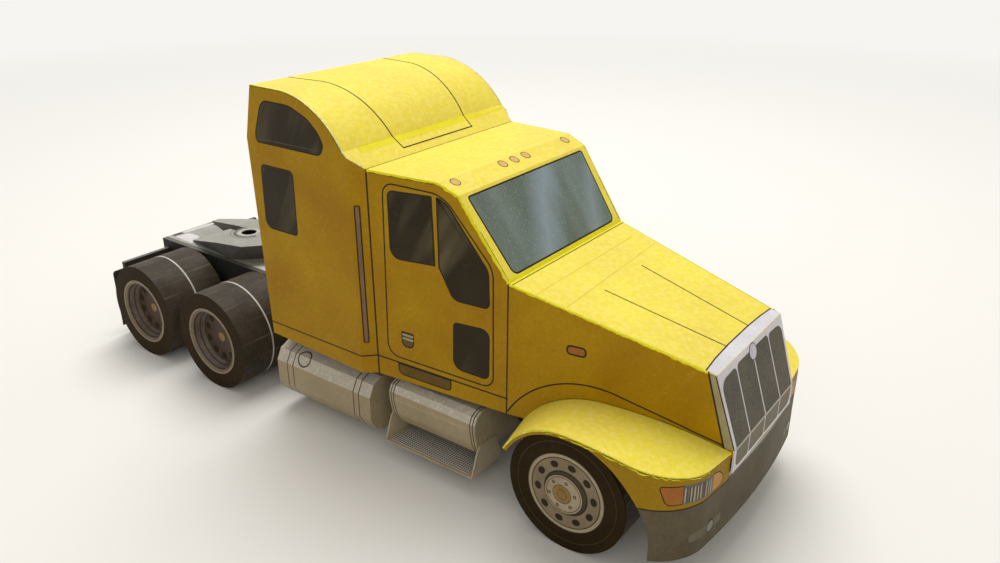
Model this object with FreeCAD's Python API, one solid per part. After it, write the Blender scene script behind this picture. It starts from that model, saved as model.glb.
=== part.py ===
import FreeCAD, Part
import math
import os

# Card model of a sleeper truck tractor, millimetres.
# Lengths run along X with the nose at +X, the left side is +Y, the table is Z = 0.
# Stations along X are given from the front axle and moved to the middle of the
# model at the end.

V = FreeCAD.Vector
os.makedirs("parts", exist_ok=True)

# Card
card = 0.4

# Wheels and axles
wheelbase = 119.8
bogie_spread = 33.6
wheel_radius = 14.6
rim_radius = 9.6
front_wheel_outer = 31.6
front_wheel_width = 9.4
dual_outer = 32.9
dual_width = 19.8
dish_depth = 3.6
dish_floor_radius = 8.4
axle_radius = 1.5
axle_wall = 0.5
axle_clearance = 0.08

# Chassis box
chassis_half_width = 9.8
chassis_top = 27.0
chassis_bottom = 11.0
rear_overhang = 21.1

# Heights and stations of the body
skirt_z = 23.2
roof_z = 75.6
roof_front_x = -37.9
header_x = -32.6
header_z = 73.4
cowl_x = -20.1
cowl_z = 55.8
nose_x = 25.2
nose_z = 45.4
grille_fold_x = 30.35
grille_fold_z = 29.5
grille_bottom_z = 24.0
grille_top_half = 17.4
grille_low_half = 16.6
cab_rear_x = -57.5

# Half widths of the body, whose side cards all stand upright
cab_half = 28.1
cowl_half = 24.4
strip_step = 2.3
sleeper_flare = 1.5

# Sleeper: its back has one fold, its roof is flat, then an arc, then a flap
sleeper_length = 39.8
back_low_step = 1.5
back_fold_z = 77.2
back_top_step = 3.6
sleeper_top_z = 90.5
roof_flat = 10.2
roof_drop = 11.3
flap_run = 4.8
strip_run = 3.3
tab_length = 3.5
roof_tab_half = 20.0

# Fenders and the band that carries lamps and bumper
fender_crest_x = 2.0
fender_crest_z = 32.6
fender_hood_radius = 23.0
fender_hood_sweep = 56.0
fender_rim_radius = 17.5
fender_rim_sweep = 62.0
fender_front_radius = 107.0
fender_half_width = 36.1
fender_rim_strip = 0.65
corner_radius = 13.1
front_radius = 200.0
band_bottom_z = 9.8
arch_x = 1.9
arch_z = 12.6
arch_radius = 19.6
hood_under_fender = 0.8
grille_tab_half = 11.5
grille_tab_low = 2.0
grille_tab_high = 3.0

# Fifth wheel
plate_z = 33.6
pin_setback = 20.8
plate_front_run = 12.6
plate_mid_run = 8.5
plate_wide_run = -0.4
plate_break_run = -7.4
ramp_tip_run = -23.2
plate_front_half = 5.3
plate_mid_half = 9.8
plate_wide_half = 12.0
plate_break_half = 9.8
ramp_tip_half = 5.6
left_ramp_lift = 4.2
wall_lean = 3.7
wall_front_lean = 4.8
pin_radius = 2.4
slot_rear_half = 2.8
slot_front_half = 1.5
slot_stop = 4.5

# Fuel tanks
tank_front_x = -60.4
tank_rear_x = -95.6
tank_outer = 29.1
tank_low_z = 8.2
tank_high_z = 15.0
tank_top_z = 19.4
tank_bottom_z = 4.0
tank_shoulder_in = 1.7
tank_shoulder_drop = 1.3
tank_top_in = 4.6

# Tool boxes and step trays
box_front_x = -27.8
box_rear_x = -55.0
box_outer = 27.4
box_low_z = 16.3
box_high_z = 18.4
box_top_z = 21.0
box_bottom_z = 9.6
box_shoulder_in = 0.9
box_shoulder_drop = 0.9
box_top_in = 2.8
box_knee_in = 0.8
box_knee_z = 12.2
box_bottom_in = 2.0
tray_outer = 29.4
tray_inner = 17.7
tray_z = 4.8
tray_cheek_top = 12.3
cheek_half = 26.9
cheek_corner = 1.2
cheek_heel = 2.1

# Mud flaps and hangers
flap_inset = 1.9
flap_outer = 30.0
flap_inner = 13.4
flap_top_z = 22.0
flap_bottom_z = 3.0
hanger_outer = 26.5
hanger_top_z = 24.4
hanger_bottom_z = 20.6
hanger_depth = 1.4

# Sizes that follow
band_front_x = grille_fold_x
corner_x = band_front_x - front_radius + math.sqrt((front_radius - corner_radius) ** 2
                                                   - (fender_half_width - corner_radius) ** 2)
cab_taper = (cab_half - cowl_half) / (cowl_x - cab_rear_x)
hood_taper = (cowl_half - grille_top_half) / (nose_x - cowl_x)
fold_x = cab_rear_x - strip_run
back_fold_x = cab_rear_x - sleeper_length
back_low_x = back_fold_x + back_low_step
sleeper_half = cab_half + strip_step
sleeper_taper = sleeper_flare / (fold_x - back_fold_x)
strip_taper = strip_step / strip_run
sleeper_top_x = back_fold_x + back_top_step
roof_arc_x = sleeper_top_x + roof_flat
roof_arc_end_x = cab_rear_x - flap_run
roof_reach = roof_arc_end_x - roof_arc_x
roof_arc_radius = (roof_reach ** 2 + roof_drop ** 2) / (2.0 * roof_drop)
rear_axle_1_x = -wheelbase
rear_axle_2_x = rear_axle_1_x - bogie_spread
chassis_rear_x = rear_axle_2_x - rear_overhang
pin_x = rear_axle_1_x - pin_setback
plate_front_x = pin_x + plate_front_run
plate_mid_x = pin_x + plate_mid_run
plate_wide_x = pin_x + plate_wide_run
plate_break_x = pin_x + plate_break_run
ramp_tip_x = pin_x + ramp_tip_run
flap_x = chassis_rear_x + flap_inset
shift = -(band_front_x + chassis_rear_x) / 2.0
far = 60.0
beyond = 2.0 * far


def cab_y(x):
    return cab_half - cab_taper * (x - cab_rear_x)


def hood_y(x):
    return cowl_half - hood_taper * (x - cowl_x)


def sleeper_y(x):
    return sleeper_half + sleeper_taper * (x - fold_x)


def strip_y(x):
    return cab_half - strip_taper * (x - cab_rear_x)


def face(points):
    return Part.Face(Part.makePolygon(points + [points[0]]))


def sheet(half, depth_in, depth_out):
    # Wide upright slab on the left side of the body, measured from its outer surface.
    n = V(half(0.0) - half(1.0), 1.0, 0.0)
    n.normalize()
    pts = [V(x, half(x), z) for x, z in ((-2 * beyond, -far), (beyond, -far), (beyond, beyond),
                                         (-2 * beyond, beyond))]
    pts = [p - n * depth_in for p in pts]
    return face(pts).extrude(n * (depth_in + depth_out))


def across(points, y0=-far, y1=far):
    # Outline in X and Z, run along Y.
    return face([V(x, y0, z) for x, z in points]).extrude(V(0, y1 - y0, 0))


def across_wire(edges, y0=-far, y1=far):
    wire = Part.Wire(Part.__sortEdges__(edges))
    solid = Part.Face(wire).extrude(V(0, y1 - y0, 0))
    solid.translate(V(0, y0, 0))
    return solid


def upright(points, z0, z1):
    # Outline in X and Y, run up from z0 to z1.
    return face([V(x, y, z0) for x, y in points]).extrude(V(0, 0, z1 - z0))


def along(points, x0, x1):
    # Outline in Y and Z, run along X.
    return face([V(x0, y, z) for y, z in points]).extrude(V(x1 - x0, 0, 0))


def block(x0, x1, y0, y1, z0, z1):
    return Part.makeBox(x1 - x0, y1 - y0, z1 - z0, V(x0, y0, z0))


def right_of(shape):
    return shape.mirror(V(0, 0, 0), V(0, 1, 0))


def arc_xz(cx, cz, r, a0, a1):
    def at(a):
        return V(cx + r * math.cos(a), 0, cz + r * math.sin(a))
    return Part.Arc(at(a0), at((a0 + a1) / 2.0), at(a1)).toShape()


def line_xz(x0, z0, x1, z1):
    return Part.makeLine(V(x0, 0, z0), V(x1, 0, z1))


def folded(points, depth):
    # A folded card seen from the side, thickened towards its right-hand side.
    normals = []
    for a, b in zip(points[:-1], points[1:]):
        d = math.hypot(b[0] - a[0], b[1] - a[1])
        normals.append(((b[1] - a[1]) / d, -(b[0] - a[0]) / d))
    inner = []
    for i, p in enumerate(points):
        if i == 0:
            m = normals[0]
            k = depth
        elif i == len(points) - 1:
            m = normals[-1]
            k = depth
        else:
            m = (normals[i - 1][0] + normals[i][0], normals[i - 1][1] + normals[i][1])
            s = math.hypot(m[0], m[1])
            m = (m[0] / s, m[1] / s)
            k = depth / (m[0] * normals[i][0] + m[1] * normals[i][1])
        inner.append((p[0] + m[0] * k, p[1] + m[1] * k))
    return across(points + inner[::-1])


def tidy(shape):
    shape = shape.removeSplitter()
    if shape.ShapeType != "Solid" and len(shape.Solids) == 1:
        shape = shape.Solids[0]
    return shape


def save(name, shape):
    shape = tidy(shape)
    shape.translate(V(shift, 0, 0))
    if len(shape.Solids) != 1:
        print("WARNING", name, "has", len(shape.Solids), "solids")
    shape.exportStep("parts/" + name + ".step")


# Fender profile: two arcs that meet at the crest. The rear arc is tighter at the
# outer rim than at the hood, so the card is slightly conical behind the crest.

def fender_arcs(drop, y):
    share = (y - cowl_half) / (fender_half_width - cowl_half)
    rear_r = fender_hood_radius + (fender_rim_radius - fender_hood_radius) * share
    sweep = fender_hood_sweep + (fender_rim_sweep - fender_hood_sweep) * share
    rear_cz = fender_crest_z - rear_r
    front_cz = fender_crest_z - fender_front_radius
    rear_a = math.radians(90.0 + sweep)
    front_a = math.acos((band_front_x + corner_radius - fender_crest_x) / fender_front_radius)
    rear = arc_xz(fender_crest_x, rear_cz, rear_r - drop, rear_a, math.pi / 2)
    front = arc_xz(fender_crest_x, front_cz, fender_front_radius - drop, math.pi / 2, front_a)
    start = (fender_crest_x + (rear_r - drop) * math.cos(rear_a),
             rear_cz + (rear_r - drop) * math.sin(rear_a))
    end = (fender_crest_x + (fender_front_radius - drop) * math.cos(front_a),
           front_cz + (fender_front_radius - drop) * math.sin(front_a))
    return rear, front, start, end


def fender_solid(edges_at):
    # Left half, ruled from the middle of the truck to just outside the rim.
    wires = []
    for y in (0.0, fender_half_width + card):
        wire = Part.Wire(Part.__sortEdges__(edges_at(y)))
        wire.translate(V(0, y, 0))
        wires.append(wire)
    return Part.makeLoft(wires, True, True)


def fender_sheet(top_drop, low_drop):
    def edges_at(y):
        r0, f0, s0, e0 = fender_arcs(top_drop, y)
        r1, f1, s1, e1 = fender_arcs(low_drop, y)
        return [r0, f0, line_xz(e0[0], e0[1], e1[0], e1[1]), f1, r1, line_xz(s1[0], s1[1], s0[0], s0[1])]
    return fender_solid(edges_at)


def fender_side(drop, z):
    # All that lies between the profile and the height z.
    def edges_at(y):
        rear, front, start, end = fender_arcs(drop, y)
        return [rear, front, line_xz(end[0], end[1], end[0], z), line_xz(end[0], z, start[0], z),
                line_xz(start[0], z, start[0], start[1])]
    return fender_solid(edges_at)


fender_rear_x = fender_arcs(0, fender_half_width)[2][0]


# Plan of the nose: sides, corner arcs and a shallow front arc

def nose_plan(offset, z0, z1):
    r = corner_radius - offset
    cy = fender_half_width - corner_radius
    big = front_radius - offset
    cx = band_front_x - front_radius
    a = math.atan2(cy, corner_x - cx)
    side = fender_half_width - offset
    back = fender_rear_x - corner_radius

    def corner(sign):
        def at(t):
            return V(corner_x + r * math.cos(t), sign * (cy + r * math.sin(t)), z0)
        return Part.Arc(at(math.pi / 2), at((math.pi / 2 + a) / 2.0), at(a)).toShape()

    front = Part.Arc(V(cx + big * math.cos(a), big * math.sin(a), z0), V(cx + big, 0, z0),
                     V(cx + big * math.cos(a), -big * math.sin(a), z0)).toShape()
    edges = [corner(1), front, corner(-1),
             Part.makeLine(V(corner_x, side, z0), V(back, side, z0)),
             Part.makeLine(V(back, side, z0), V(back, -side, z0)),
             Part.makeLine(V(back, -side, z0), V(corner_x, -side, z0))]
    wire = Part.Wire(Part.__sortEdges__(edges))
    return Part.Face(wire).extrude(V(0, 0, z1 - z0))


# Side card of cab and hood, folded at the cowl

cab_outline = [(cab_rear_x, skirt_z), (cowl_x, skirt_z), (cowl_x, cowl_z), (header_x, header_z),
               (roof_front_x, roof_z), (cab_rear_x, roof_z)]
cab_side = sheet(cab_y, card, 0).common(across(cab_outline, 0, far))

hood_outline = [(cowl_x, skirt_z), (grille_fold_x, skirt_z),
                (grille_fold_x - card, grille_fold_z), (nose_x - card, nose_z), (cowl_x, cowl_z)]
hood_card = sheet(hood_y, card, 0)
hood_side = hood_card.common(across(hood_outline, 0, far))
wheel_well = fender_side(card + hood_under_fender, 0)
hood_side = hood_side.cut(wheel_well)
cab_card = cab_side.fuse(hood_side)
save("cab_side_left", cab_card)
save("cab_side_right", right_of(cab_card))

# Roof, header, windshield and hood top in one folded strip between the sides

cab_outside = sheet(cab_y, card, beyond)
hood_outside = sheet(hood_y, card, beyond)
upper = folded([(cab_rear_x, roof_z), (roof_front_x, roof_z), (header_x, header_z),
                (cowl_x, cowl_z), (nose_x, nose_z)], card)
top_strip = upper.cut(cab_outside).cut(right_of(cab_outside))
top_strip = top_strip.cut(hood_outside).cut(right_of(hood_outside))
save("cab_top_strip", top_strip)

# Grille card, folded near its foot

grille = folded([(nose_x, nose_z), (grille_fold_x, grille_fold_z),
                 (grille_fold_x - 0.02, grille_bottom_z)], card)
trim = [V(0, -grille_low_half, 0), V(0, grille_low_half, 0), V(0, grille_low_half, grille_fold_z),
        V(0, grille_top_half, nose_z + card), V(0, -grille_top_half, nose_z + card),
        V(0, -grille_low_half, grille_fold_z)]
grille = grille.common(face(trim).extrude(V(far, 0, 0)))
grille = grille.cut(upper).cut(cab_card).cut(right_of(cab_card))
save("grille_card", grille)

# Sleeper sides, each with the slanted strip and the glue tab behind the cab side

roof_arc_z = sleeper_top_z - roof_arc_radius
arc_end_z = sleeper_top_z - roof_drop
arc_end = math.atan2(arc_end_z - roof_arc_z, roof_reach)
flap_slope = (roof_z - arc_end_z) / flap_run
fold_z = roof_z - flap_slope * strip_run

sleeper_outline = [line_xz(back_low_x, skirt_z, back_fold_x, back_fold_z),
                   line_xz(back_fold_x, back_fold_z, sleeper_top_x, sleeper_top_z),
                   line_xz(sleeper_top_x, sleeper_top_z, roof_arc_x, sleeper_top_z),
                   arc_xz(roof_arc_x, roof_arc_z, roof_arc_radius, math.pi / 2, arc_end),
                   line_xz(roof_arc_end_x, arc_end_z, fold_x, fold_z),
                   line_xz(fold_x, fold_z, fold_x, skirt_z),
                   line_xz(fold_x, skirt_z, back_low_x, skirt_z)]
sleeper_side = sheet(sleeper_y, card, 0)
sleeper_side = sleeper_side.common(across_wire(sleeper_outline, 0, far))


strip_outline = [(fold_x - card, skirt_z), (cab_rear_x, skirt_z), (cab_rear_x, roof_z),
                 (fold_x, fold_z), (fold_x - card, fold_z)]
strip_card = sheet(strip_y, card, 0).common(across(strip_outline, 0, far))
strip_card = strip_card.cut(sheet(sleeper_y, 0, far))
tab_outline = [(cab_rear_x - card / 2, skirt_z + tab_length),
               (cab_rear_x + tab_length, skirt_z + 2 * tab_length),
               (cab_rear_x + tab_length, roof_z - 2 * tab_length),
               (cab_rear_x - card / 2, roof_z - tab_length)]
glue_tab = sheet(cab_y, 2 * card, -card).common(across(tab_outline, 0, far))
sleeper_card = sleeper_side.fuse(strip_card).fuse(glue_tab)
save("sleeper_side_left", sleeper_card)
save("sleeper_side_right", right_of(sleeper_card))

# Sleeper roof: flat, arc, flap down to the cab roof and a glue tab under it

flap_thick = card * math.hypot(1.0, flap_slope)
flap_base = arc_end_z - roof_arc_z - flap_slope * roof_reach - flap_thick
inner_radius = roof_arc_radius - card
qa = 1.0 + flap_slope ** 2
qb = flap_slope * flap_base
qc = flap_base ** 2 - inner_radius ** 2
root = math.sqrt(max(qb ** 2 - qa * qc, 0.0))
# The inner arc runs on to where it meets the inner face of the flap.
inner_x = min((-qb + root) / qa, (-qb - root) / qa, key=lambda x: abs(x - roof_reach))
inner_z = flap_slope * inner_x + flap_base
inner_end = (roof_arc_x + inner_x, roof_arc_z + inner_z)
roof_edges = [line_xz(sleeper_top_x, sleeper_top_z, roof_arc_x, sleeper_top_z),
              arc_xz(roof_arc_x, roof_arc_z, roof_arc_radius, math.pi / 2, arc_end),
              line_xz(roof_arc_end_x, arc_end_z, cab_rear_x, roof_z),
              line_xz(cab_rear_x, roof_z, cab_rear_x, roof_z - flap_thick),
              line_xz(cab_rear_x, roof_z - flap_thick, inner_end[0], inner_end[1]),
              arc_xz(roof_arc_x, roof_arc_z, inner_radius, math.atan2(inner_z, inner_x), math.pi / 2),
              line_xz(roof_arc_x, sleeper_top_z - card, sleeper_top_x, sleeper_top_z - card),
              line_xz(sleeper_top_x, sleeper_top_z - card, sleeper_top_x, sleeper_top_z)]
roof_card = across_wire(roof_edges)
sleeper_outside = sheet(sleeper_y, card, beyond)
strip_outside = sheet(strip_y, card, beyond)
strip_outside = strip_outside.common(block(-beyond, cab_rear_x, 0, beyond, 0, beyond))
roof_card = roof_card.cut(sleeper_outside).cut(right_of(sleeper_outside))
roof_card = roof_card.cut(strip_outside).cut(right_of(strip_outside))
roof_tab = block(cab_rear_x - card, cab_rear_x + tab_length, -roof_tab_half, roof_tab_half,
                 roof_z - 2 * card, roof_z)
save("sleeper_roof", roof_card.fuse(roof_tab).cut(upper))

# Back card of the sleeper, notched over the chassis

back = folded([(back_low_x, skirt_z), (back_fold_x, back_fold_z),
               (sleeper_top_x, sleeper_top_z)], card)
back = back.cut(sleeper_outside).cut(right_of(sleeper_outside)).cut(roof_card)
back = back.cut(block(-2 * beyond, beyond, -chassis_half_width, chassis_half_width, 0, chassis_top))
save("sleeper_back", back)

# Floor card on the chassis, between the sides

floor = block(back_low_x, cowl_x, -far, far, chassis_top, chassis_top + card).cut(back)
cab_outside = cab_outside.common(block(cab_rear_x, far, 0, beyond, 0, beyond))
for outside in (sleeper_outside, strip_outside, cab_outside, glue_tab):
    floor = floor.cut(outside).cut(right_of(outside))
save("body_floor", floor)

# Fender tops: level across, arched along the truck

hood_inside = sheet(hood_y, far, 0)
fender = fender_sheet(0, card).common(nose_plan(0, 0, far)).cut(hood_inside)
save("fender_top_left", fender)
save("fender_top_right", right_of(fender))

# Front band: lamp panels above, bumper below, with the wheel arches cut away

band = nose_plan(0, band_bottom_z, far).cut(nose_plan(card, 0, beyond))
over_fender = fender_side(card, beyond)
band = band.cut(over_fender).cut(right_of(over_fender))
band = band.cut(block(-beyond, 0, -far, far, 0, far))
arch = Part.makeCylinder(arch_radius, 2 * far, V(arch_x, -far, arch_z), V(0, 1, 0))
band = band.cut(arch).cut(block(-beyond, arch_x + arch_radius, -far, far, 0, arch_z))
band = band.cut(block(0, far, -grille_low_half, grille_low_half, grille_bottom_z, far))
# A narrow strip of it runs back over the arch, under the fender's rim.
strip = fender_sheet(card, card + fender_rim_strip)
strip = strip.common(block(-far, arch_x + arch_radius / 2.0, fender_half_width - card,
                           fender_half_width, 0, far))
band = band.fuse(strip).fuse(right_of(strip))
grille_tab = block(grille_fold_x - 2 * card, grille_fold_x - card, -grille_tab_half, grille_tab_half,
                   grille_bottom_z - grille_tab_low, grille_bottom_z + grille_tab_high)
band = band.fuse(grille_tab.cut(grille)).cut(cab_card).cut(right_of(cab_card))
save("front_band", band)

# Chassis box with holes for the axles

chassis_front_x = grille_fold_x - 2 * card
chassis = block(chassis_rear_x, chassis_front_x, -chassis_half_width, chassis_half_width,
                chassis_bottom, chassis_top)
chassis = chassis.cut(block(chassis_rear_x + card, chassis_front_x + 1, -chassis_half_width + card,
                            chassis_half_width - card, chassis_bottom + card, chassis_top - card))
for axle_x in (0, rear_axle_1_x, rear_axle_2_x):
    hole = Part.makeCylinder(axle_radius + axle_clearance, 4 * chassis_half_width,
                             V(axle_x, -2 * chassis_half_width, wheel_radius), V(0, 1, 0))
    chassis = chassis.cut(hole)
chassis = chassis.cut(band)
save("chassis_box", chassis)

# Fifth wheel: raised plate, leaning walls, a slot, the pin hole and two ramps. The
# right ramp falls to the deck; the left one is bent up, nearly level.


def fifth_wheel_solid(inset):
    lean = wall_lean * (plate_z - chassis_top - inset) / (plate_z - chassis_top)
    forward = wall_front_lean * lean / wall_lean
    top = [(plate_front_x - inset, plate_front_half - inset), (plate_mid_x, plate_mid_half - inset),
           (plate_wide_x, plate_wide_half - inset), (plate_break_x, plate_break_half - inset)]
    low = [(top[0][0] - forward, top[0][1] - lean), (top[1][0] - forward, top[1][1] - lean),
           (top[2][0], top[2][1] - lean), (top[3][0], top[3][1] - lean)]
    top = top + [(x, -y) for x, y in top[::-1]]
    low = low + [(x, -y) for x, y in low[::-1]]
    z1 = plate_z - inset
    z0 = chassis_top
    upper_wire = Part.makePolygon([V(x, y, z1) for x, y in top + top[:1]])
    lower_wire = Part.makePolygon([V(x, y, z0) for x, y in low + low[:1]])
    body = Part.makeLoft([lower_wire, upper_wire], True, True)
    b0 = plate_break_half - inset
    t0 = ramp_tip_half - inset
    tip = ramp_tip_x + 2 * inset
    ramps = []
    for side, lift in ((1, left_ramp_lift), (-1, 0.0)):
        hull = [V(plate_break_x, 0, z1), V(plate_break_x, side * b0, z1),
                V(plate_break_x, side * (b0 - lean), z0), V(plate_break_x, 0, z0)]
        low = z0 + lift
        end = [V(tip, 0, low + card), V(tip, side * t0, low + card),
               V(tip, side * (t0 - 0.1), low), V(tip, 0, low)]
        outlines = [Part.makePolygon(hull + hull[:1]), Part.makePolygon(end + end[:1])]
        ramps.append(Part.makeLoft(outlines, True, True))
    return body, ramps[0].fuse(ramps[1])


body_out, ramp_out = fifth_wheel_solid(0)
body_in, ramp_in = fifth_wheel_solid(card)
pin_hole = Part.makeCylinder(pin_radius, far, V(pin_x, 0, 0), V(0, 0, 1))


def slot_prism(rim):
    end_x = ramp_tip_x - card
    stop_x = pin_x - slot_stop + rim
    return upright([(end_x, -slot_rear_half - rim), (end_x, slot_rear_half + rim),
                    (stop_x, slot_front_half + rim), (stop_x, -slot_front_half - rim)], 0, far)


hole_rim = Part.makeCylinder(pin_radius + card, far, V(pin_x, 0, 0), V(0, 0, 1))
fifth = body_out.fuse(ramp_out)
hollow = body_in.fuse(ramp_in).cut(slot_prism(card)).cut(hole_rim)
fifth = fifth.cut(hollow).cut(slot_prism(0)).cut(pin_hole)
save("fifth_wheel", fifth)

# Fuel tanks: card boxes with folded, nearly round flanks against the chassis


def hollow_box(outer, inner, x0, x1):
    return along(outer, x0, x1).cut(along(inner, x0 + card, x1 - card))


def inward(outline, depth):
    # Closed outline moved in by a card's thickness, with mitred corners. It runs clockwise.
    moved = []
    for i, p in enumerate(outline):
        a = outline[i - 1]
        b = outline[(i + 1) % len(outline)]
        da = math.hypot(p[0] - a[0], p[1] - a[1])
        db = math.hypot(b[0] - p[0], b[1] - p[1])
        na = ((p[1] - a[1]) / da, -(p[0] - a[0]) / da)
        nb = ((b[1] - p[1]) / db, -(b[0] - p[0]) / db)
        k = depth / (1.0 + na[0] * nb[0] + na[1] * nb[1])
        moved.append((p[0] + (na[0] + nb[0]) * k, p[1] + (na[1] + nb[1]) * k))
    return moved


tank_outline = [(chassis_half_width, tank_top_z),
                (tank_outer - tank_top_in, tank_top_z),
                (tank_outer - tank_shoulder_in, tank_top_z - tank_shoulder_drop),
                (tank_outer, tank_high_z),
                (tank_outer, tank_low_z),
                (tank_outer - tank_shoulder_in, tank_bottom_z + tank_shoulder_drop),
                (tank_outer - tank_top_in, tank_bottom_z),
                (chassis_half_width + tank_top_in, tank_bottom_z),
                (chassis_half_width, tank_low_z)]
tank = hollow_box(tank_outline, inward(tank_outline, card), tank_rear_x, tank_front_x)
save("fuel_tank_left", tank)
save("fuel_tank_right", right_of(tank))

# Tool boxes under the doors

box_outline = [(chassis_half_width, box_top_z),
               (box_outer - box_top_in, box_top_z),
               (box_outer - box_shoulder_in, box_top_z - box_shoulder_drop),
               (box_outer, box_high_z),
               (box_outer, box_low_z),
               (box_outer - box_knee_in, box_knee_z),
               (box_outer - box_bottom_in, box_bottom_z),
               (chassis_half_width, box_bottom_z)]
tool_box = hollow_box(box_outline, inward(box_outline, card), box_rear_x, box_front_x)
save("tool_box_left", tool_box)
save("tool_box_right", right_of(tool_box))

# Step trays: a foot plate between two cheeks glued on the box ends

cheek = [(tray_outer, tray_z), (cheek_half, tray_cheek_top - cheek_corner),
         (cheek_half - cheek_corner, tray_cheek_top), (tray_inner + cheek_heel, tray_cheek_top),
         (tray_inner, tray_z + cheek_heel), (tray_inner, tray_z)]
tray = block(box_rear_x - card, box_front_x + card, tray_inner, tray_outer, tray_z, tray_z + card)
tray = tray.fuse(along(cheek, box_rear_x - card, box_rear_x))
tray = tray.fuse(along(cheek, box_front_x, box_front_x + card))
save("step_tray_left", tray)
save("step_tray_right", right_of(tray))

# Mud flaps behind the rear wheels, on hangers from the chassis box

hanger = block(flap_x, flap_x + hanger_depth, chassis_half_width, hanger_outer,
               hanger_bottom_z, hanger_top_z)
save("flap_hanger_left", hanger)
save("flap_hanger_right", right_of(hanger))
flap_outline = [(flap_inner, flap_bottom_z), (flap_outer, flap_bottom_z), (flap_outer, flap_top_z - 0.6),
                (flap_outer - 0.6, flap_top_z), (flap_inner, flap_top_z)]
flap = along(flap_outline, flap_x - card, flap_x)
save("mud_flap_left", flap)
save("mud_flap_right", right_of(flap))

# Axle tubes and wheels


def tube(x, y0, y1, r_out, r_in):
    base = V(x, y0, wheel_radius)
    solid = Part.makeCylinder(r_out, y1 - y0, base, V(0, 1, 0))
    return solid.cut(Part.makeCylinder(r_in, y1 - y0, base, V(0, 1, 0)))


def disc(x, y0, y1, r):
    return Part.makeCylinder(r, y1 - y0, V(x, y0, wheel_radius), V(0, 1, 0))


def axle(x, half):
    return tube(x, -half, half, axle_radius, axle_radius - axle_wall)


save("front_axle", axle(0, front_wheel_outer - card))
dish_y = dual_outer - dish_depth
save("rear_axle_1", axle(rear_axle_1_x, dish_y - card))
save("rear_axle_2", axle(rear_axle_2_x, dish_y - card))

front_inner = front_wheel_outer - front_wheel_width
front_drum = tube(0, front_inner, front_wheel_outer - card, wheel_radius, wheel_radius - card)
front_drum = front_drum.fuse(tube(0, front_inner, front_inner + card, wheel_radius, axle_radius))
save("front_drum_left", front_drum)
save("front_drum_right", right_of(front_drum))
front_face = disc(0, front_wheel_outer - card, front_wheel_outer, wheel_radius)
save("front_wheel_face_left", front_face)
save("front_wheel_face_right", right_of(front_face))

for number, axle_x in ((1, rear_axle_1_x), (2, rear_axle_2_x)):
    dual_inner = dual_outer - dual_width
    drum = tube(axle_x, dual_inner, dual_outer, wheel_radius, wheel_radius - card)
    drum = drum.fuse(tube(axle_x, dual_inner, dual_inner + card, wheel_radius, axle_radius))
    drum = drum.fuse(tube(axle_x, dual_outer - card, dual_outer, wheel_radius, rim_radius))
    save("dual_drum_%d_left" % number, drum)
    save("dual_drum_%d_right" % number, right_of(drum))
    cone = Part.makeCone(dish_floor_radius, rim_radius, dish_depth,
                         V(axle_x, dish_y, wheel_radius), V(0, 1, 0))
    skin = Part.makeCone(dish_floor_radius - card, rim_radius - card, dish_depth,
                         V(axle_x, dish_y, wheel_radius), V(0, 1, 0))
    dish = cone.cut(skin).fuse(disc(axle_x, dish_y - card, dish_y, dish_floor_radius))
    save("rim_dish_%d_left" % number, dish)
    save("rim_dish_%d_right" % number, right_of(dish))
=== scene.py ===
import math
import bmesh
import bpy
from mathutils import Matrix, Vector, noise


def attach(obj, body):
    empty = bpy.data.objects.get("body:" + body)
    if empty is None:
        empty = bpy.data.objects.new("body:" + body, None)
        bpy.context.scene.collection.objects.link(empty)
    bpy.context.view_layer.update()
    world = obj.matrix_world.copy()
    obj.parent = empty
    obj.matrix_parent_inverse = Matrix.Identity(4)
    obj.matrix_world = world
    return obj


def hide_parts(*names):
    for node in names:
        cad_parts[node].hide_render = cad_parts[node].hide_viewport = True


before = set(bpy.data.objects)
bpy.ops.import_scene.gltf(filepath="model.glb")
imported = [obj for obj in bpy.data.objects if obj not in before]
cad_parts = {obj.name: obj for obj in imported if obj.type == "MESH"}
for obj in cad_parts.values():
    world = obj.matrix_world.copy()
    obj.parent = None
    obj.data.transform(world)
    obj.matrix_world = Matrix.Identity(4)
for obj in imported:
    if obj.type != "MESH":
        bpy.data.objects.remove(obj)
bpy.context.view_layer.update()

mm = 0.001
toMetres = Matrix.Scale(mm, 4)
sides = ((-1, "right"), (1, "left"))


def ink(red, green, blue):
    # printed colour, 0 to 255, as the shader wants it
    out = []
    for level in (red, green, blue):
        part = level / 255.0
        out.append(part / 12.92 if part <= 0.04045 else ((part + 0.055) / 1.055) ** 2.4)
    return (out[0], out[1], out[2], 1.0)


nodeRows = {"perRow": 7, "wide": 220, "tall": 260, "left": -1600, "top": 500}


def addNode(tree, kind, sockets, **values):
    # sockets get a value, or a link where the value is another node's output; nodes stand in rows as made
    row, column = divmod(len(tree.nodes), nodeRows["perRow"])
    node = tree.nodes.new(kind)
    node.location = (nodeRows["left"] + nodeRows["wide"] * column, nodeRows["top"] - nodeRows["tall"] * row)
    for key, value in values.items():
        setattr(node, key, value)
    for key, value in sockets.items():
        if isinstance(value, bpy.types.NodeSocket):
            tree.links.new(value, node.inputs[key])
        else:
            node.inputs[key].default_value = value
    return node


def mixInk(tree, share, first, second):
    return addNode(tree, "ShaderNodeMix", {0: share, 6: first, 7: second}, data_type="RGBA").outputs[2]


def mathNode(tree, operation, first, second=0.0, third=0.0):
    return addNode(tree, "ShaderNodeMath", {0: first, 1: second, 2: third}, operation=operation).outputs[0]


def noiseNode(tree, vector, sizeMm, detail=3.0, rough=0.55):
    sockets = {"Vector": vector, "Scale": 1.0 / (sizeMm * mm), "Detail": detail, "Roughness": rough}
    return addNode(tree, "ShaderNodeTexNoise", sockets).outputs["Fac"]


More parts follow.
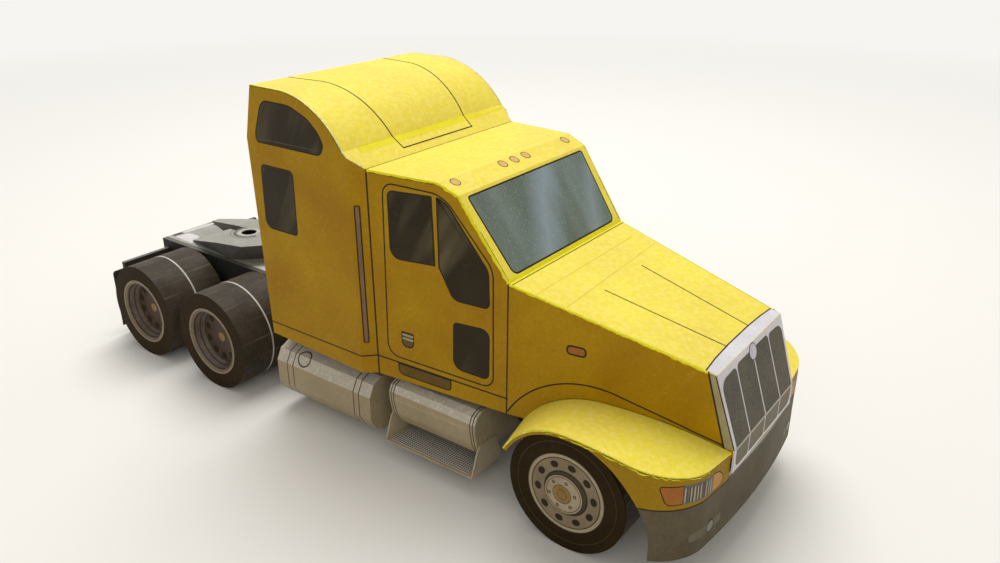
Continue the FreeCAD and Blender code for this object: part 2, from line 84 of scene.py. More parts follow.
def turned(tree, vector, turn, stretch, kind="POINT"):
    sockets = {"Vector": vector, "Rotation": turn, "Scale": stretch}
    return addNode(tree, "ShaderNodeMapping", sockets, vector_type=kind).outputs["Vector"]


def splitAxes(tree, vector):
    return addNode(tree, "ShaderNodeSeparateXYZ", {0: vector}).outputs


def spread(tree, value, low, high, outLow=0.0, outHigh=1.0):
    sockets = {0: value, 1: low, 2: high, 3: outLow, 4: outHigh}
    return addNode(tree, "ShaderNodeMapRange", sockets).outputs[0]


def overprint(tree, colour, layers):
    # inks over each other: what each follows, its low and high end, its strength, its colour
    for value, low, high, share, tint in layers:
        colour = mixInk(tree, spread(tree, value, low, high, 0.0, share), colour, tint)
    return colour


def newFinish(name):
    # a material with its shader at the right and the piece's own coordinates
    material = bpy.data.materials.new(name)
    material.use_nodes = True
    tree = material.node_tree
    shader = tree.nodes["Principled BSDF"]
    coords = addNode(tree, "ShaderNodeTexCoord", {})
    return material, tree, shader, coords.outputs


def surface(tree, shader, colour, rough, height, grain, depth, gloss):
    # colour, roughness, relief and gloss go into the shader
    bump = addNode(tree, "ShaderNodeBump", {"Strength": grain, "Distance": depth, "Height": height})
    tree.links.new(colour, shader.inputs["Base Color"])
    tree.links.new(rough, shader.inputs["Roughness"])
    tree.links.new(bump.outputs["Normal"], shader.inputs["Normal"])
    shader.inputs["Specular IOR Level"].default_value = gloss


# printed card: sizes of the patterns in mm, detail and roughness of their noise, where each begins and ends
usualCard = {
    "turn": (0.3, 0.5, 0.2), "cloudMm": 5.0, "cloudNoise": (4.0, 0.6), "cloudRange": (0.35, 0.68),
    "fibreMm": 0.9, "fibreNoise": (5.0, 0.75), "fibreRange": (0.42, 0.62), "fibre": 0.35,
    "fleckMm": 0.45, "fleckNoise": (2.0, 0.5), "fleckFrom": 0.62, "fleckTo": 0.72, "flecks": 0.3,
    "streakMm": 1.6, "streakNoise": (3.0, 0.6), "streakTurn": (0.0, 0.9, 0.0), "streakLong": (1.0, 1.0, 25.0),
    "streakRange": (0.6, 0.76), "streaks": 0.12, "rough": 0.4, "roughSpan": 0.2, "roughRange": (0.35, 0.7),
    "wave": 2.0, "grain": 0.2, "depth": 0.00012, "gloss": 0.18, "edgeLimit": 0.6, "chipRange": (0.5, 0.6),
    "wornRange": (0.4, 0.66), "paleRange": (0.4, 0.64), "paleShare": 0.6}


def card(main, cloud, shade, fleck, **changes):
    # four inks, and what differs from the usual card
    inks = {"main": ink(*main), "cloud": ink(*cloud), "shade": ink(*shade), "fleck": ink(*fleck)}
    return {**usualCard, **inks, **changes}


def cardFinish(name, look):
    # printed card: ink clouds, paper fibre, flecks where the ink is thin, cut edges, a painted highlight on
    # upward faces where asked, and a faint gloss
    material, tree, shader, coords = newFinish(name)
    place = turned(tree, coords["Object"], look["turn"], (1.0, 1.0, 1.0))
    cloud = noiseNode(tree, place, look["cloudMm"], *look["cloudNoise"])
    fibre = noiseNode(tree, place, look["fibreMm"], *look["fibreNoise"])
    fleck = noiseNode(tree, place, look["fleckMm"], *look["fleckNoise"])
    streak = turned(tree, coords["Object"], look["streakTurn"], look["streakLong"], "TEXTURE")
    rub = noiseNode(tree, streak, look["streakMm"], *look["streakNoise"])
    colour = overprint(tree, look["main"], (
        (cloud, *look["cloudRange"], 1.0, look["cloud"]),
        (fibre, *look["fibreRange"], look["fibre"], look["shade"]),
        (fleck, look["fleckFrom"], look["fleckTo"], look["flecks"], look["fleck"]),
        (rub, *look["streakRange"], look["streaks"], look["fleck"])))
    if "bumper" in look:
        # grey bumper print below one height
        inks = [ink(*levels) for levels in look["bumper"]]
        low = mathNode(tree, "LESS_THAN", splitAxes(tree, coords["Object"])["Z"], look["bumperTop"] * mm)
        worn = overprint(tree, inks[0], ((fibre, *look["wornRange"], 1.0, inks[1]),
                                         (cloud, *look["paleRange"], look["paleShare"], inks[2])))
        colour = mixInk(tree, low, colour, worn)
    if "edge" in look:
        # cut edges have their own inks; where only upward faces are chosen, these inks are a painted
        # highlight instead
        inks = [ink(*levels) for levels in look["edge"]]
        facing = splitAxes(tree, coords["Normal"])[look["edgeAxis"]]
        if not look.get("faceUp"):
            facing = mathNode(tree, "ABSOLUTE", facing)
        test = "LESS_THAN" if look.get("upright") else "GREATER_THAN"
        cut = mathNode(tree, test, facing, look["edgeLimit"])
        chip = overprint(tree, inks[0], ((fibre, *look["chipRange"], 1.0, inks[1]),))
        colour = mixInk(tree, cut, colour, chip)
    rough = spread(tree, fibre, *look["roughRange"], look["rough"], look["rough"] + look["roughSpan"])
    height = mathNode(tree, "MULTIPLY_ADD", cloud, look["wave"], fibre)
    surface(tree, shader, colour, rough, height, look["grain"], look["depth"], look["gloss"])
    return material


def glassFinish(name, look):
    # window printed on card: dark ground, soft slanting light bands, ink speckle and light beams across
    material, tree, shader, coords = newFinish(name)
    bands = turned(tree, coords["Object"], look["bandTurn"], look["bandStretch"], "TEXTURE")
    band = noiseNode(tree, bands, look["bandMm"], *look["bandNoise"])
    mist = noiseNode(tree, coords["Object"], look["mistMm"])
    speck = noiseNode(tree, coords["Object"], look["speckMm"], *look["speckNoise"])
    colour = overprint(tree, look["ground"], (
        (band, *look["bandRange"], 1.0, look["light"]),
        (mist, *look["mistRange"], look["mist"], look["haze"]),
        (speck, *look["speckRange"], look["specks"], look["spark"])))
    for centre, half, share in look.get("beams", ()):
        # centre and half width in mm, and strength
        axes = splitAxes(tree, coords["Object"])
        lean = mathNode(tree, "MULTIPLY_ADD", axes["Z"], look["beamLean"], axes["Y"])
        drift = mathNode(tree, "MULTIPLY_ADD", mist, look["beamDrift"], lean)
        away = mathNode(tree, "ABSOLUTE", mathNode(tree, "SUBTRACT", drift, centre * mm))
        colour = overprint(tree, colour, ((away, half * mm, 0.0, share, look["beamInk"]),))
    rough = spread(tree, speck, *look["roughRange"], *look["rough"])
    surface(tree, shader, colour, rough, speck, look["grain"], look["depth"], look["gloss"])
    return material


def gridFinish(name, look):
    # foot plate print: white grid on a dark ground
    material, tree, shader, coords = newFinish(name)
    axes = splitAxes(tree, coords["Object"])
    lines = []
    for axis in ("X", "Y"):
        part = mathNode(tree, "FRACT", mathNode(tree, "MULTIPLY", axes[axis], 1.0 / (look["pitchMm"] * mm)))
        lines.append(mathNode(tree, "LESS_THAN", part, look["lineShare"]))
    cloud = noiseNode(tree, coords["Object"], look["cloudMm"])
    ground = mixInk(tree, cloud, look["dark"], look["darkCloud"])
    colour = mixInk(tree, mathNode(tree, "MAXIMUM", *lines), ground, look["white"])
    tree.links.new(colour, shader.inputs["Base Color"])
    rough = spread(tree, cloud, *look["roughRange"], *look["rough"])
    tree.links.new(rough, shader.inputs["Roughness"])
    return material


# shaded copy of the yellow card: the same card as the tops, in darker, more orange inks that are painted
# shade; the side cards, the sleeper's back and the front band use it
sideCardShaded = card((170, 132, 6), (152, 109, 6), (144, 107, 5), (186, 154, 40), cloudMm=22.0, fibreMm=0.8,
                fleckMm=0.9, streakTurn=(0.0, 0.55, 0.0), fleckFrom=0.56, flecks=0.2, streaks=0.25,
                grain=0.22, gloss=0.11, edge=((212, 206, 20), (236, 228, 110)), edgeAxis="Z", rough=0.45)

# inks of each finish: main, cloud, shade and fleck
cards = {
    "yellowTop": card((238, 220, 70), (228, 204, 74), (224, 202, 52), (244, 232, 138), cloudMm=18.0,
                      fibreMm=1.1, fleckMm=1.2, streakTurn=(0.0, 1.2, 0.9), fibre=0.4, fleckFrom=0.42,
                      flecks=0.34, streaks=0.25, grain=0.3, gloss=0.2, edge=((206, 194, 28), (232, 222, 100)),
                      edgeAxis="Y", rough=0.45),
    "yellowSideShaded": dict(sideCardShaded, edgeAxis="Y", upright=True),
    "sleeperBackShaded": sideCardShaded,
    # front band: the yellow card in darker inks that are painted shade, with a grey bumper print below one
    # height
    "noseBandShaded": dict(sideCardShaded, main=ink(154, 121, 10), cloud=ink(142, 108, 10), shade=ink(130, 98, 8),
                     fleck=ink(178, 140, 40), bumperTop=22.3,
                     bumper=((70, 61, 43), (86, 76, 56), (106, 96, 75))),
    "grilleFrame": card((222, 219, 222), (204, 200, 202), (188, 184, 184), (238, 236, 238), cloudMm=12.0,
                        rough=0.35),
    "grillePanel": card((82, 76, 62), (98, 90, 74), (62, 57, 46), (122, 114, 94), cloudMm=9.0, fibreMm=0.5,
                        fibre=0.6, flecks=0.4, grain=0.25, rough=0.45),
    "grilleFoot": card((98, 88, 66), (114, 102, 76), (80, 72, 54), (136, 124, 98), cloudMm=8.0, fibreMm=0.5,
                       grain=0.25),
    "blackLine": card((44, 34, 16), (34, 27, 12), (26, 20, 10), (84, 68, 34), cloudMm=26.0, fibreMm=0.4,
                      flecks=0.25, grain=0.15, rough=0.5),
    "feltPen": card((234, 221, 8), (222, 208, 12), (208, 192, 8), (240, 231, 60), cloudMm=6.0),
    "foldWear": card((240, 230, 110), (232, 218, 84), (230, 212, 70), (248, 242, 190), flecks=0.7, grain=0.3,
                     rough=0.5),
    "paperEdge": card((238, 230, 176), (222, 208, 120), (150, 138, 40), (250, 246, 222), cloudMm=2.0,
                      fibreMm=0.8, fibre=0.6, flecks=0.6, grain=0.3, rough=0.5),
    "amberLamp": card((148, 88, 28), (160, 100, 36), (130, 74, 22), (180, 124, 62), cloudMm=4.0, fibreMm=0.4,
                      grain=0.15, rough=0.35),
    "paleAmber": card((180, 128, 46), (190, 140, 58), (162, 110, 38), (204, 160, 86), cloudMm=4.0,
                      fibreMm=0.4, grain=0.15, rough=0.35),
    "bumperFace": card((78, 69, 50), (94, 84, 63), (64, 56, 40), (112, 102, 80), cloudMm=8.0),
    "peachLamp": card((214, 174, 100), (208, 162, 86), (198, 150, 76), (226, 198, 140), cloudMm=1.5,
                      fibreMm=0.4, grain=0.15, rough=0.35),
    "clearLamp": card((100, 94, 80), (122, 116, 102), (74, 69, 57), (152, 146, 132), cloudMm=2.5,
                      fibreMm=0.5, grain=0.15, rough=0.3),
    "fogLamp": card((112, 108, 94), (134, 130, 116), (90, 86, 74), (158, 155, 144), cloudMm=2.0, fibreMm=0.4,
                    grain=0.15, rough=0.3),
    "bumperBar": card((94, 84, 64), (106, 96, 76), (80, 70, 53), (124, 115, 96), fibreMm=0.5),
    "handleBar": card((116, 90, 58), (130, 104, 70), (94, 70, 40), (156, 130, 94), cloudMm=6.0, fibreMm=0.5),
    "stepRecess": card((100, 78, 24), (88, 68, 20), (72, 55, 16), (130, 106, 46), cloudMm=4.0, fibreMm=0.5,
                       rough=0.45),
    # tanks and tool boxes: what faces up gets lighter, cooler inks, a painted highlight
    "tankCard": card((164, 149, 118), (148, 132, 102), (138, 121, 92), (192, 180, 154), cloudMm=14.0,
                     streakTurn=(0.0, 1.57, 0.0), streaks=0.3, grain=0.25, roughSpan=0.22,
                     edge=((182, 171, 153), (200, 191, 175)), edgeAxis="Z", faceUp=True, edgeLimit=0.3),
    "trayCard": card((176, 162, 134), (158, 144, 116), (144, 130, 102), (204, 195, 174), cloudMm=10.0,
                     grain=0.25, rough=0.45),
    "greyLine": card((84, 76, 66), (70, 63, 54), (60, 53, 45), (122, 113, 98), cloudMm=26.0, fibreMm=0.4,
                     grain=0.15, rough=0.45),
    "chassisSide": card((34, 31, 28), (44, 40, 36), (24, 22, 20), (68, 63, 56), cloudMm=12.0, grain=0.25,
                        rough=0.5),
    "chassisPrint": card((150, 148, 138), (176, 174, 166), (116, 114, 106), (206, 204, 198), cloudMm=9.0,
                         rough=0.3),
    "chassisRail": card((104, 102, 92), (88, 86, 78), (70, 68, 62), (138, 135, 124), cloudMm=7.0),
    "plateTop": card((148, 147, 135), (162, 161, 151), (126, 124, 113), (182, 181, 171), cloudMm=8.0,
                     rough=0.35),
    "plateWall": card((106, 102, 99), (88, 84, 82), (70, 66, 63), (136, 133, 130), cloudMm=6.0),
    "pinRing": card((186, 184, 172), (174, 172, 160), (160, 158, 146), (204, 202, 192)),
    "bossSilver": card((206, 202, 212), (190, 186, 198), (172, 168, 178), (222, 219, 228), cloudMm=2.0,
                       grain=0.15, rough=0.35),
    "whiteCard": card((214, 211, 208), (200, 197, 194), (186, 182, 177), (232, 230, 227), cloudMm=6.0),
    "mauveMark": card((88, 70, 66), (76, 60, 56), (60, 46, 42), (118, 98, 92), cloudMm=4.0, rough=0.45),
    "creaseLine": card((222, 190, 62), (228, 202, 66), (212, 172, 60), (236, 218, 90), cloudMm=2.5,
                       rough=0.5),
    "oliveLine": card((104, 96, 22), (128, 118, 22), (78, 70, 16), (164, 154, 40), cloudMm=2.0, fibreMm=0.4,
                      grain=0.15, rough=0.5),
    "paleLine": card((176, 166, 142), (160, 150, 126), (146, 136, 112), (198, 190, 170), cloudMm=4.0,
                     grain=0.15),
    # the silver grille card's flap on the hood side, in beige-grey inks that are painted shade
    "silverFlangeShaded": card((150, 138, 100), (164, 152, 114), (130, 118, 82), (182, 172, 136), cloudMm=7.0),
    "flapCard": card((58, 53, 46), (70, 64, 56), (42, 38, 32), (98, 90, 78), cloudMm=10.0, grain=0.25,
                     rough=0.45),
    "hangerCard": card((58, 53, 46), (70, 64, 56), (42, 38, 32), (98, 90, 78), cloudMm=10.0, grain=0.25,
                       edge=((104, 99, 96), (122, 118, 114)), edgeAxis="Z", rough=0.45),
    "tyreFace": card((48, 35, 13), (38, 28, 10), (27, 19, 7), (74, 58, 30), cloudMm=9.0, fibreMm=0.6,
                     grain=0.3, gloss=0.06, rough=0.5),
    "tyreTread": card((74, 65, 53), (56, 48, 38), (38, 32, 24), (118, 109, 96), cloudMm=7.0, fibreMm=0.7,
                      fleckMm=0.9, streakTurn=(1.57, 0.0, 0.0), streakMm=1.1, flecks=0.1, streaks=0.6,
                      grain=0.35, gloss=0.12, rough=0.45),
    "treadLine": card((206, 202, 192), (186, 181, 170), (158, 153, 142), (226, 222, 216), rough=0.45),
    "rimGrey": card((136, 120, 94), (120, 105, 80), (102, 88, 65), (164, 150, 124), cloudMm=6.0, fibreMm=0.5,
                    rough=0.35),
    "rimBright": card((170, 155, 126), (152, 137, 108), (132, 118, 90), (198, 186, 162), fibreMm=0.5,
                      rough=0.3),
    "rimShade": card((70, 58, 38), (56, 46, 29), (44, 35, 21), (104, 90, 66), fibreMm=0.5),
    "rimBeige": card((146, 129, 102), (130, 113, 87), (110, 94, 69), (176, 161, 136), fibreMm=0.5,
                     rough=0.35),
    "dishWall": card((96, 80, 66), (124, 112, 106), (68, 54, 42), (156, 147, 142), cloudMm=9.0, fibreMm=0.5,
                     rough=0.35),
    "dishFloor": card((80, 62, 50), (68, 51, 40), (52, 38, 28), (116, 97, 82), fibreMm=0.5),
    "hubBrass": card((132, 102, 50), (150, 120, 68), (100, 75, 34), (176, 150, 100), cloudMm=2.2,
                     fibreMm=0.5, grain=0.25, rough=0.3),
    "axlePaper": card((78, 70, 55), (64, 57, 44), (50, 44, 33), (110, 101, 82), cloudMm=4.0, grain=0.25,
                      rough=0.5),
}
usualPane = {"bandNoise": (2.0, 0.45), "mistRange": (0.42, 0.7), "speckNoise": (2.0, 0.6),
             "speckRange": (0.56, 0.7), "roughRange": (0.3, 0.7), "grain": 0.18, "depth": 0.0001}
windows = {
    "paneDark": {
        **usualPane, "ground": ink(38, 30, 13), "light": ink(92, 83, 58), "haze": ink(54, 45, 24),
        "spark": ink(92, 81, 54), "bandTurn": (0.0, 0.5, 0.0), "bandStretch": (1.0, 1.0, 5.0),
        "bandMm": 8.0, "bandRange": (0.48, 0.7), "mistMm": 12.0, "mist": 0.4, "speckMm": 0.45, "specks": 0.18,
        "rough": (0.4, 0.6), "gloss": 0.14},
    "windshieldPrint": {
        **usualPane, "ground": ink(86, 98, 88), "light": ink(112, 126, 120), "haze": ink(100, 110, 96),
        "spark": ink(150, 162, 150), "bandTurn": (0.0, 0.0, 0.0), "bandStretch": (8.0, 1.0, 8.0),
        "bandMm": 11.0, "bandRange": (0.45, 0.7), "mistMm": 8.0, "mist": 0.5, "speckMm": 0.5, "specks": 0.45,
        "rough": (0.35, 0.5), "gloss": 0.2, "beams": ((-51.1, 8.0, 0.62), (-30.7, 5.2, 0.4)),
        "beamLean": -0.81, "beamDrift": 0.005, "beamInk": ink(150, 165, 180)}}
stepLook = {"pitchMm": 0.7, "lineShare": 0.3, "dark": ink(74, 68, 60), "darkCloud": ink(92, 86, 76),
            "white": ink(206, 200, 188), "cloudMm": 3.0, "roughRange": (0.3, 0.7), "rough": (0.42, 0.6)}

finishes = {name: cardFinish(name, look) for name, look in cards.items()}
finishes.update({name: glassFinish(name, look) for name, look in windows.items()})
finishes["stepGrid"] = gridFinish("stepGrid", stepLook)
print("finishes made:", len(finishes))

# each CAD node gets its card, by how its name starts
nodeCard = {
    "yellowSideShaded": ("cab_side", "sleeper_side"), "sleeperBackShaded": ("sleeper_back",), "noseBandShaded": ("front_band",),
    "yellowTop": ("cab_top_strip", "sleeper_roof", "fender_top"), "grilleFrame": ("grille_card",),
    "chassisSide": ("chassis_box", "body_floor"), "tankCard": ("fuel_tank", "tool_box"),
    "trayCard": ("step_tray",), "flapCard": ("mud_flap",), "hangerCard": ("flap_hanger",),
    "axlePaper": ("front_axle", "rear_axle"), "tyreFace": ("front_wheel_face",),
    "tyreTread": ("front_drum", "dual_drum"), "dishWall": ("rim_dish",)}
dressed = 0
for finish, starts in nodeCard.items():
    for node in [node for name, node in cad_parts.items() if name.startswith(starts)]:
        for slot in node.material_slots:
            slot.material = finishes[finish]
        dressed += 1
print("CAD nodes dressed:", dressed)

# thickness of the prints and their lines in mm, and how a pen line wanders
printLook = {"sunk": 0.06, "perLevel": 0.025, "line": 0.34, "wrapped": 0.03, "hoop": 0.04, "hoopSteps": 96,
             "cornerSteps": 6, "wanderTurns": 1.1, "wanderMost": 1.6, "thinnest": 0.15}
lineWidth = printLook["line"]


def addPiece(name, mesh, body, finishNames):
    for finish in finishNames:
        mesh.materials.append(finishes[finish])
    piece = bpy.data.objects.new(name, mesh)
    bpy.context.scene.collection.objects.link(piece)
    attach(piece, body)
    return piece


class CardPrint:
    # thin printed patches that lie on the card and move with one body
    def __init__(self, name, body, slot):
        self.name = name
        self.body = body
        self.slotName = slot
        self.finishNames = []
        self.mesh = bpy.data.meshes.new(name)
        self.bm = bmesh.new()

    def slotOf(self, finish):
        if finish not in self.finishNames:
            self.finishNames.append(finish)
        return self.finishNames.index(finish)

    def join(self, patch):
        step = bpy.data.meshes.new("step")
        patch.to_mesh(step)
        patch.free()
        self.bm.from_mesh(step)
        bpy.data.meshes.remove(step)

    def take(self, patch, fill, level, place):
        # gives a flat patch its paper thickness and lays it on the card; fill None leaves its colours
        if fill:
            for flat in patch.faces:
                flat.material_index = self.slotOf(fill)
        bmesh.ops.recalc_face_normals(patch, faces=patch.faces[:])
        grown = bmesh.ops.extrude_face_region(patch, geom=patch.faces[:], use_keep_orig=True)
        top = [part for part in grown["geom"] if isinstance(part, bmesh.types.BMVert)]
        bmesh.ops.translate(patch, verts=patch.verts[:], vec=(0, 0, -printLook["sunk"]))
        rise = printLook["sunk"] + printLook["perLevel"] * level
        bmesh.ops.translate(patch, verts=top, vec=(0, 0, rise))
        if isinstance(place, Matrix):
            bmesh.ops.transform(patch, matrix=place, verts=patch.verts[:])
        else:
            for vert in patch.verts:
                vert.co = place(vert.co)
        bmesh.ops.recalc_face_normals(patch, faces=patch.faces[:])
        self.join(patch)

    def wrap(self, band, fill, outFrom, thickness, way):
        # gives a band its thickness on the side that looks away from outFrom, or towards it with way -1
        bmesh.ops.recalc_face_normals(band, faces=band.faces[:])
        outward = sum((flat.calc_center_median() - outFrom(flat)).dot(flat.normal) for flat in band.faces)
        if outward * way < 0:
            bmesh.ops.reverse_faces(band, faces=band.faces[:])
        bmesh.ops.solidify(band, geom=band.faces[:], thickness=-thickness)
        for flat in band.faces:
            flat.material_index = self.slotOf(fill)
        bmesh.ops.transform(band, matrix=toMetres, verts=band.verts[:])
        self.join(band)

    def area(self, corners, place, fill, rounding=0.0, rim=0.0, level=1, slices=0.0):
        # filled shape with rounded corners and a printed outline; fill None leaves the outline alone
        patch = bmesh.new()
        verts = [patch.verts.new((a, b, 0.0)) for a, b in corners]
        patch.faces.new(verts)
        radii = rounding if isinstance(rounding, (list, tuple)) else [rounding] * len(verts)
        for radius in sorted(set(radii) - {0.0}):
            chosen = [vert for vert, size in zip(verts, radii) if size == radius]
            bmesh.ops.bevel(patch, geom=chosen, offset=radius, segments=printLook["cornerSteps"], profile=0.5,
                            affect="VERTICES", material=-1)
        self.inked(patch, place, fill, rim, level, "blackLine", slices)

    def disc(self, centre, radius, place, fill, rim=0.0, level=1, steps=40, line="blackLine", narrow=1.0,
             turn=0.0):
        patch = bmesh.new()
        bmesh.ops.create_circle(patch, cap_ends=True, segments=steps, radius=radius)
        bmesh.ops.scale(patch, verts=patch.verts[:], vec=(narrow, 1, 1))
        bmesh.ops.rotate(patch, verts=patch.verts[:], cent=(0, 0, 0), matrix=Matrix.Rotation(turn, 3, "Z"))
        bmesh.ops.translate(patch, verts=patch.verts[:], vec=(centre[0], centre[1], 0))
        self.inked(patch, place, fill, rim, level, line)

    def inked(self, patch, place, fill, rim, level, line, slices=0.0):
        # fill and outline colours, then cuts across so that the patch can follow a bend
        for flat in patch.faces:
            flat.material_index = self.slotOf(fill or line)
        if rim > 0:
            edge = bmesh.ops.inset_region(patch, faces=patch.faces[:], thickness=rim, use_boundary=True,
                                          use_even_offset=True)["faces"]
            for flat in edge:
                flat.material_index = self.slotOf(line)
            if not fill:
                inner = [flat for flat in patch.faces if flat not in edge]
                bmesh.ops.delete(patch, geom=inner, context="FACES")
        if slices > 0:
            low = min(vert.co.x for vert in patch.verts)
            high = max(vert.co.x for vert in patch.verts)
            cut = low + slices
            while cut < high:
                bmesh.ops.bisect_plane(patch, geom=patch.faces[:] + patch.edges[:] + patch.verts[:],
                                       plane_co=(cut, 0, 0), plane_no=(1, 0, 0))
                cut += slices
        self.take(patch, None, level, place)

    def ring(self, centre, inner, outer, place, fill, level=1, steps=64, start=0.0, sweep=2 * math.pi):
        # part of a ring, spun from one short edge
        patch = bmesh.new()
        first = [patch.verts.new((centre[0] + r * math.cos(start), centre[1] + r * math.sin(start), 0))
                 for r in (inner, outer)]
        edge = patch.edges.new(first)
        bmesh.ops.spin(patch, geom=first + [edge], cent=(centre[0], centre[1], 0), axis=(0, 0, 1),
                       angle=sweep, steps=steps, use_merge=sweep == 2 * math.pi)
        self.take(patch, fill, level, place)

    def stroke(self, points, width, place, fill="blackLine", level=1, slices=0.0):
        # straight printed lines through the points
        for (a0, b0), (a1, b1) in zip(points[:-1], points[1:]):
            along = Vector((a1 - a0, b1 - b0)).normalized() * width / 2
            across = Vector((-along.y, along.x))
            start = Vector((a0, b0)) - along
            end = Vector((a1, b1)) + along
            corners = [start + across, start - across, end - across, end + across]
            self.area(corners, place, fill, level=level, slices=slices)

    def penLine(self, points, width, place, fill="feltPen", level=1, wander=0.4):
        # pen line along a card's edge: straight on the edge, wandering to the left of the run
        patch = bmesh.new()
        chain = [patch.verts.new((a, b, 0.0)) for a, b in points]
        edges = [patch.edges.new(pair) for pair in zip(chain[:-1], chain[1:])]
        bmesh.ops.extrude_edge_only(patch, edges=edges)
        often = printLook["wanderTurns"]
        for number, vert in enumerate(chain):
            run = chain[min(number + 1, len(chain) - 1)].co - chain[max(number - 1, 0)].co
            inward = Vector((-run.y, run.x, 0.0)).normalized()
            uneven = noise.noise(Vector((often * vert.co.x, often * vert.co.y, width)))
            uneven *= wander * printLook["wanderMost"]
            for far in [edge.other_vert(vert) for edge in vert.link_edges]:
                if far not in chain:
                    far.co = far.co + inward * width * max(printLook["thinnest"], 1.0 + uneven)
        self.take(patch, fill, level, place)

    def finish(self):
        self.bm.to_mesh(self.mesh)
        self.bm.free()
        addPiece(self.name, self.mesh, self.body, self.finishNames)


def pointsAlong(corners, step=0.6):
    # points every step along straight runs
    out = [corners[0]]
    for (a0, b0), (a1, b1) in zip(corners[:-1], corners[1:]):
        count = max(1, round(math.hypot(a1 - a0, b1 - b0) / step))
        out += [(a0 + (a1 - a0) * part / count, b0 + (b1 - b0) * part / count)
                for part in range(1, count + 1)]
    return out


def pointsRound(centre, radius, start, end, steps):
    # points on an arc, angles in degrees
    angles = [math.radians(start + (end - start) * part / steps) for part in range(steps + 1)]
    return [(centre[0] + radius * math.cos(angle), centre[1] + radius * math.sin(angle)) for angle in angles]


def halfAt(plane, x):
    # half width of the body at a place along a side card
    x0, half, taper = plane
    return half + taper * (x - x0)


def sidePlane(plane, side):
    # upright side card: (x, z, out) in mm to the frame
    taper = side * plane[2]
    rows = ((1, 0, 0, 0), (taper, 0, side, side * halfAt(plane, 0.0)), (0, 1, 0, 0), (0, 0, 0, 1))
    return toMetres @ Matrix(rows)


def crossPlane(x0, z0, x1, z1):
    # card that runs across: (y, along the slope, out) in mm to the frame
    length = math.hypot(x1 - x0, z1 - z0)
    tx = (x1 - x0) / length
    tz = (z1 - z0) / length
    return toMetres @ Matrix(((0, tx, -tz, x0), (1, 0, 0, 0), (0, tz, tx, z0), (0, 0, 0, 1)))


# side cards by a place along the truck, the half width there and its taper, and cards across by two (x, z)
planes = {
    "cab": (14.575, 28.1, -0.09893), "hood": (51.975, 24.4, -0.15453), "sleeper": (11.275, 30.4, 0.041096),
    "strip": (11.275, 30.4, -0.69697),
    "roof": (14.575, 75.6, 34.175, 75.6), "header": (34.175, 75.6, 39.475, 73.4),
    "windshield": (39.475, 73.4, 51.975, 55.8), "hoodTop": (51.975, 55.8, 97.275, 45.4),
    "grille": (97.275, 45.4, 102.425, 29.5), "grilleFoot": (102.425, 29.5, 102.405, 24.0)}

# cab and hood sides
cabLook = {
    "door": [(17.9, 29.4), (19.05, 73.5), (35.6, 73.1), (48.2, 58.2), (47.97, 28.5)],
    "doorRounding": [3.4, 3.0, 3.2, 2.0, 3.0],
    "panes": (([(20.35, 71.75), (32.6, 72.25), (32.95, 55.8), (20.3, 55.1)], [1.6, 0.4, 0.2, 3.0]),
              ([(33.7, 72.3), (36.2, 71.8), (47.0, 57.6), (47.15, 48.4), (37.5, 48.4), (33.75, 55.7)],
               [0.2, 1.9, 1.2, 1.6, 1.6, 0.0]),
              ([(37.3, 43.1), (47.06, 43.45), (46.75, 30.45), (36.9, 30.9)], [1.1, 2.4, 1.6, 2.6])),
    "paneRim": 0.42,
    "handle": [(22.35, 36.95), (26.0, 36.85), (25.9, 32.7), (22.3, 32.8)],
    "handleRounding": [0.3, 0.3, 1.5, 1.5],
    "handleBars": [[(22.9, 36.1), (25.5, 36.0)], [(22.9, 35.1), (25.5, 35.0)]], "handleBarWidth": 0.55,
    "recess": [(20.9, 27.9), (36.4, 27.45), (36.3, 24.3), (20.8, 24.75)],
    "recessRounding": [0.2, 0.2, 1.3, 1.8], "recessRim": 0.3,
    "sill": [(14.9, 28.2), (51.4, 27.15)], "cowlLine": [(51.3, 23.4), (51.75, 55.6)],
    "rearEdge": [(14.8, 23.4), (14.8, 75.4)], "rearEdgeWidth": 0.45,
    "feltRun": [(51.975, 55.8), (39.475, 73.4), (34.175, 75.6), (14.7, 75.6)], "feltWidth": 0.5,
    "roofDark": [(33.0, 75.05), (14.7, 75.05)], "roofDarkWidth": 0.14, "wander": 0.8}
hoodLook = {
    "archCentre": (72.0, 12.6), "archRadius": 23.3, "archFrom": 151.0, "archTo": 75.5, "archSteps": 28,
    "archRun": [(77.85, 35.15), (90.3, 32.3), (95.6, 31.0), (99.9, 30.1)],
    "marker": (67.8, 43.5), "markerHalf": (2.3, 1.2), "markerRounding": 1.0, "markerRim": 0.4,
    "flange": [(95.55, 45.7), (97.2, 45.35), (102.3, 29.6), (100.1, 29.6)],
    "seam": [(97.1, 45.1), (102.2, 29.6)], "seamWidth": 0.2,
    "feltRun": [(96.4, 45.6), (51.975, 55.8)], "feltWidth": 0.42,
    "jointFrom": 60.75, "jointStep": 0.75, "jointCount": 54, "jointWidth": 0.2, "wander": 0.8}
fenderLook = {"crest": (74.075, 32.6), "frontRadius": 107.0, "hoodRadius": 23.0, "rimRadius": 17.5,
              "card": 0.4}


def fenderTop(x, rearRadius):
    # height of the fender's upper face over a place along the truck
    crestX, crestZ = fenderLook["crest"]
    radius = fenderLook["frontRadius"] if x > crestX else rearRadius
    return crestZ - radius + math.sqrt(max(radius ** 2 - (x - crestX) ** 2, 0.0))


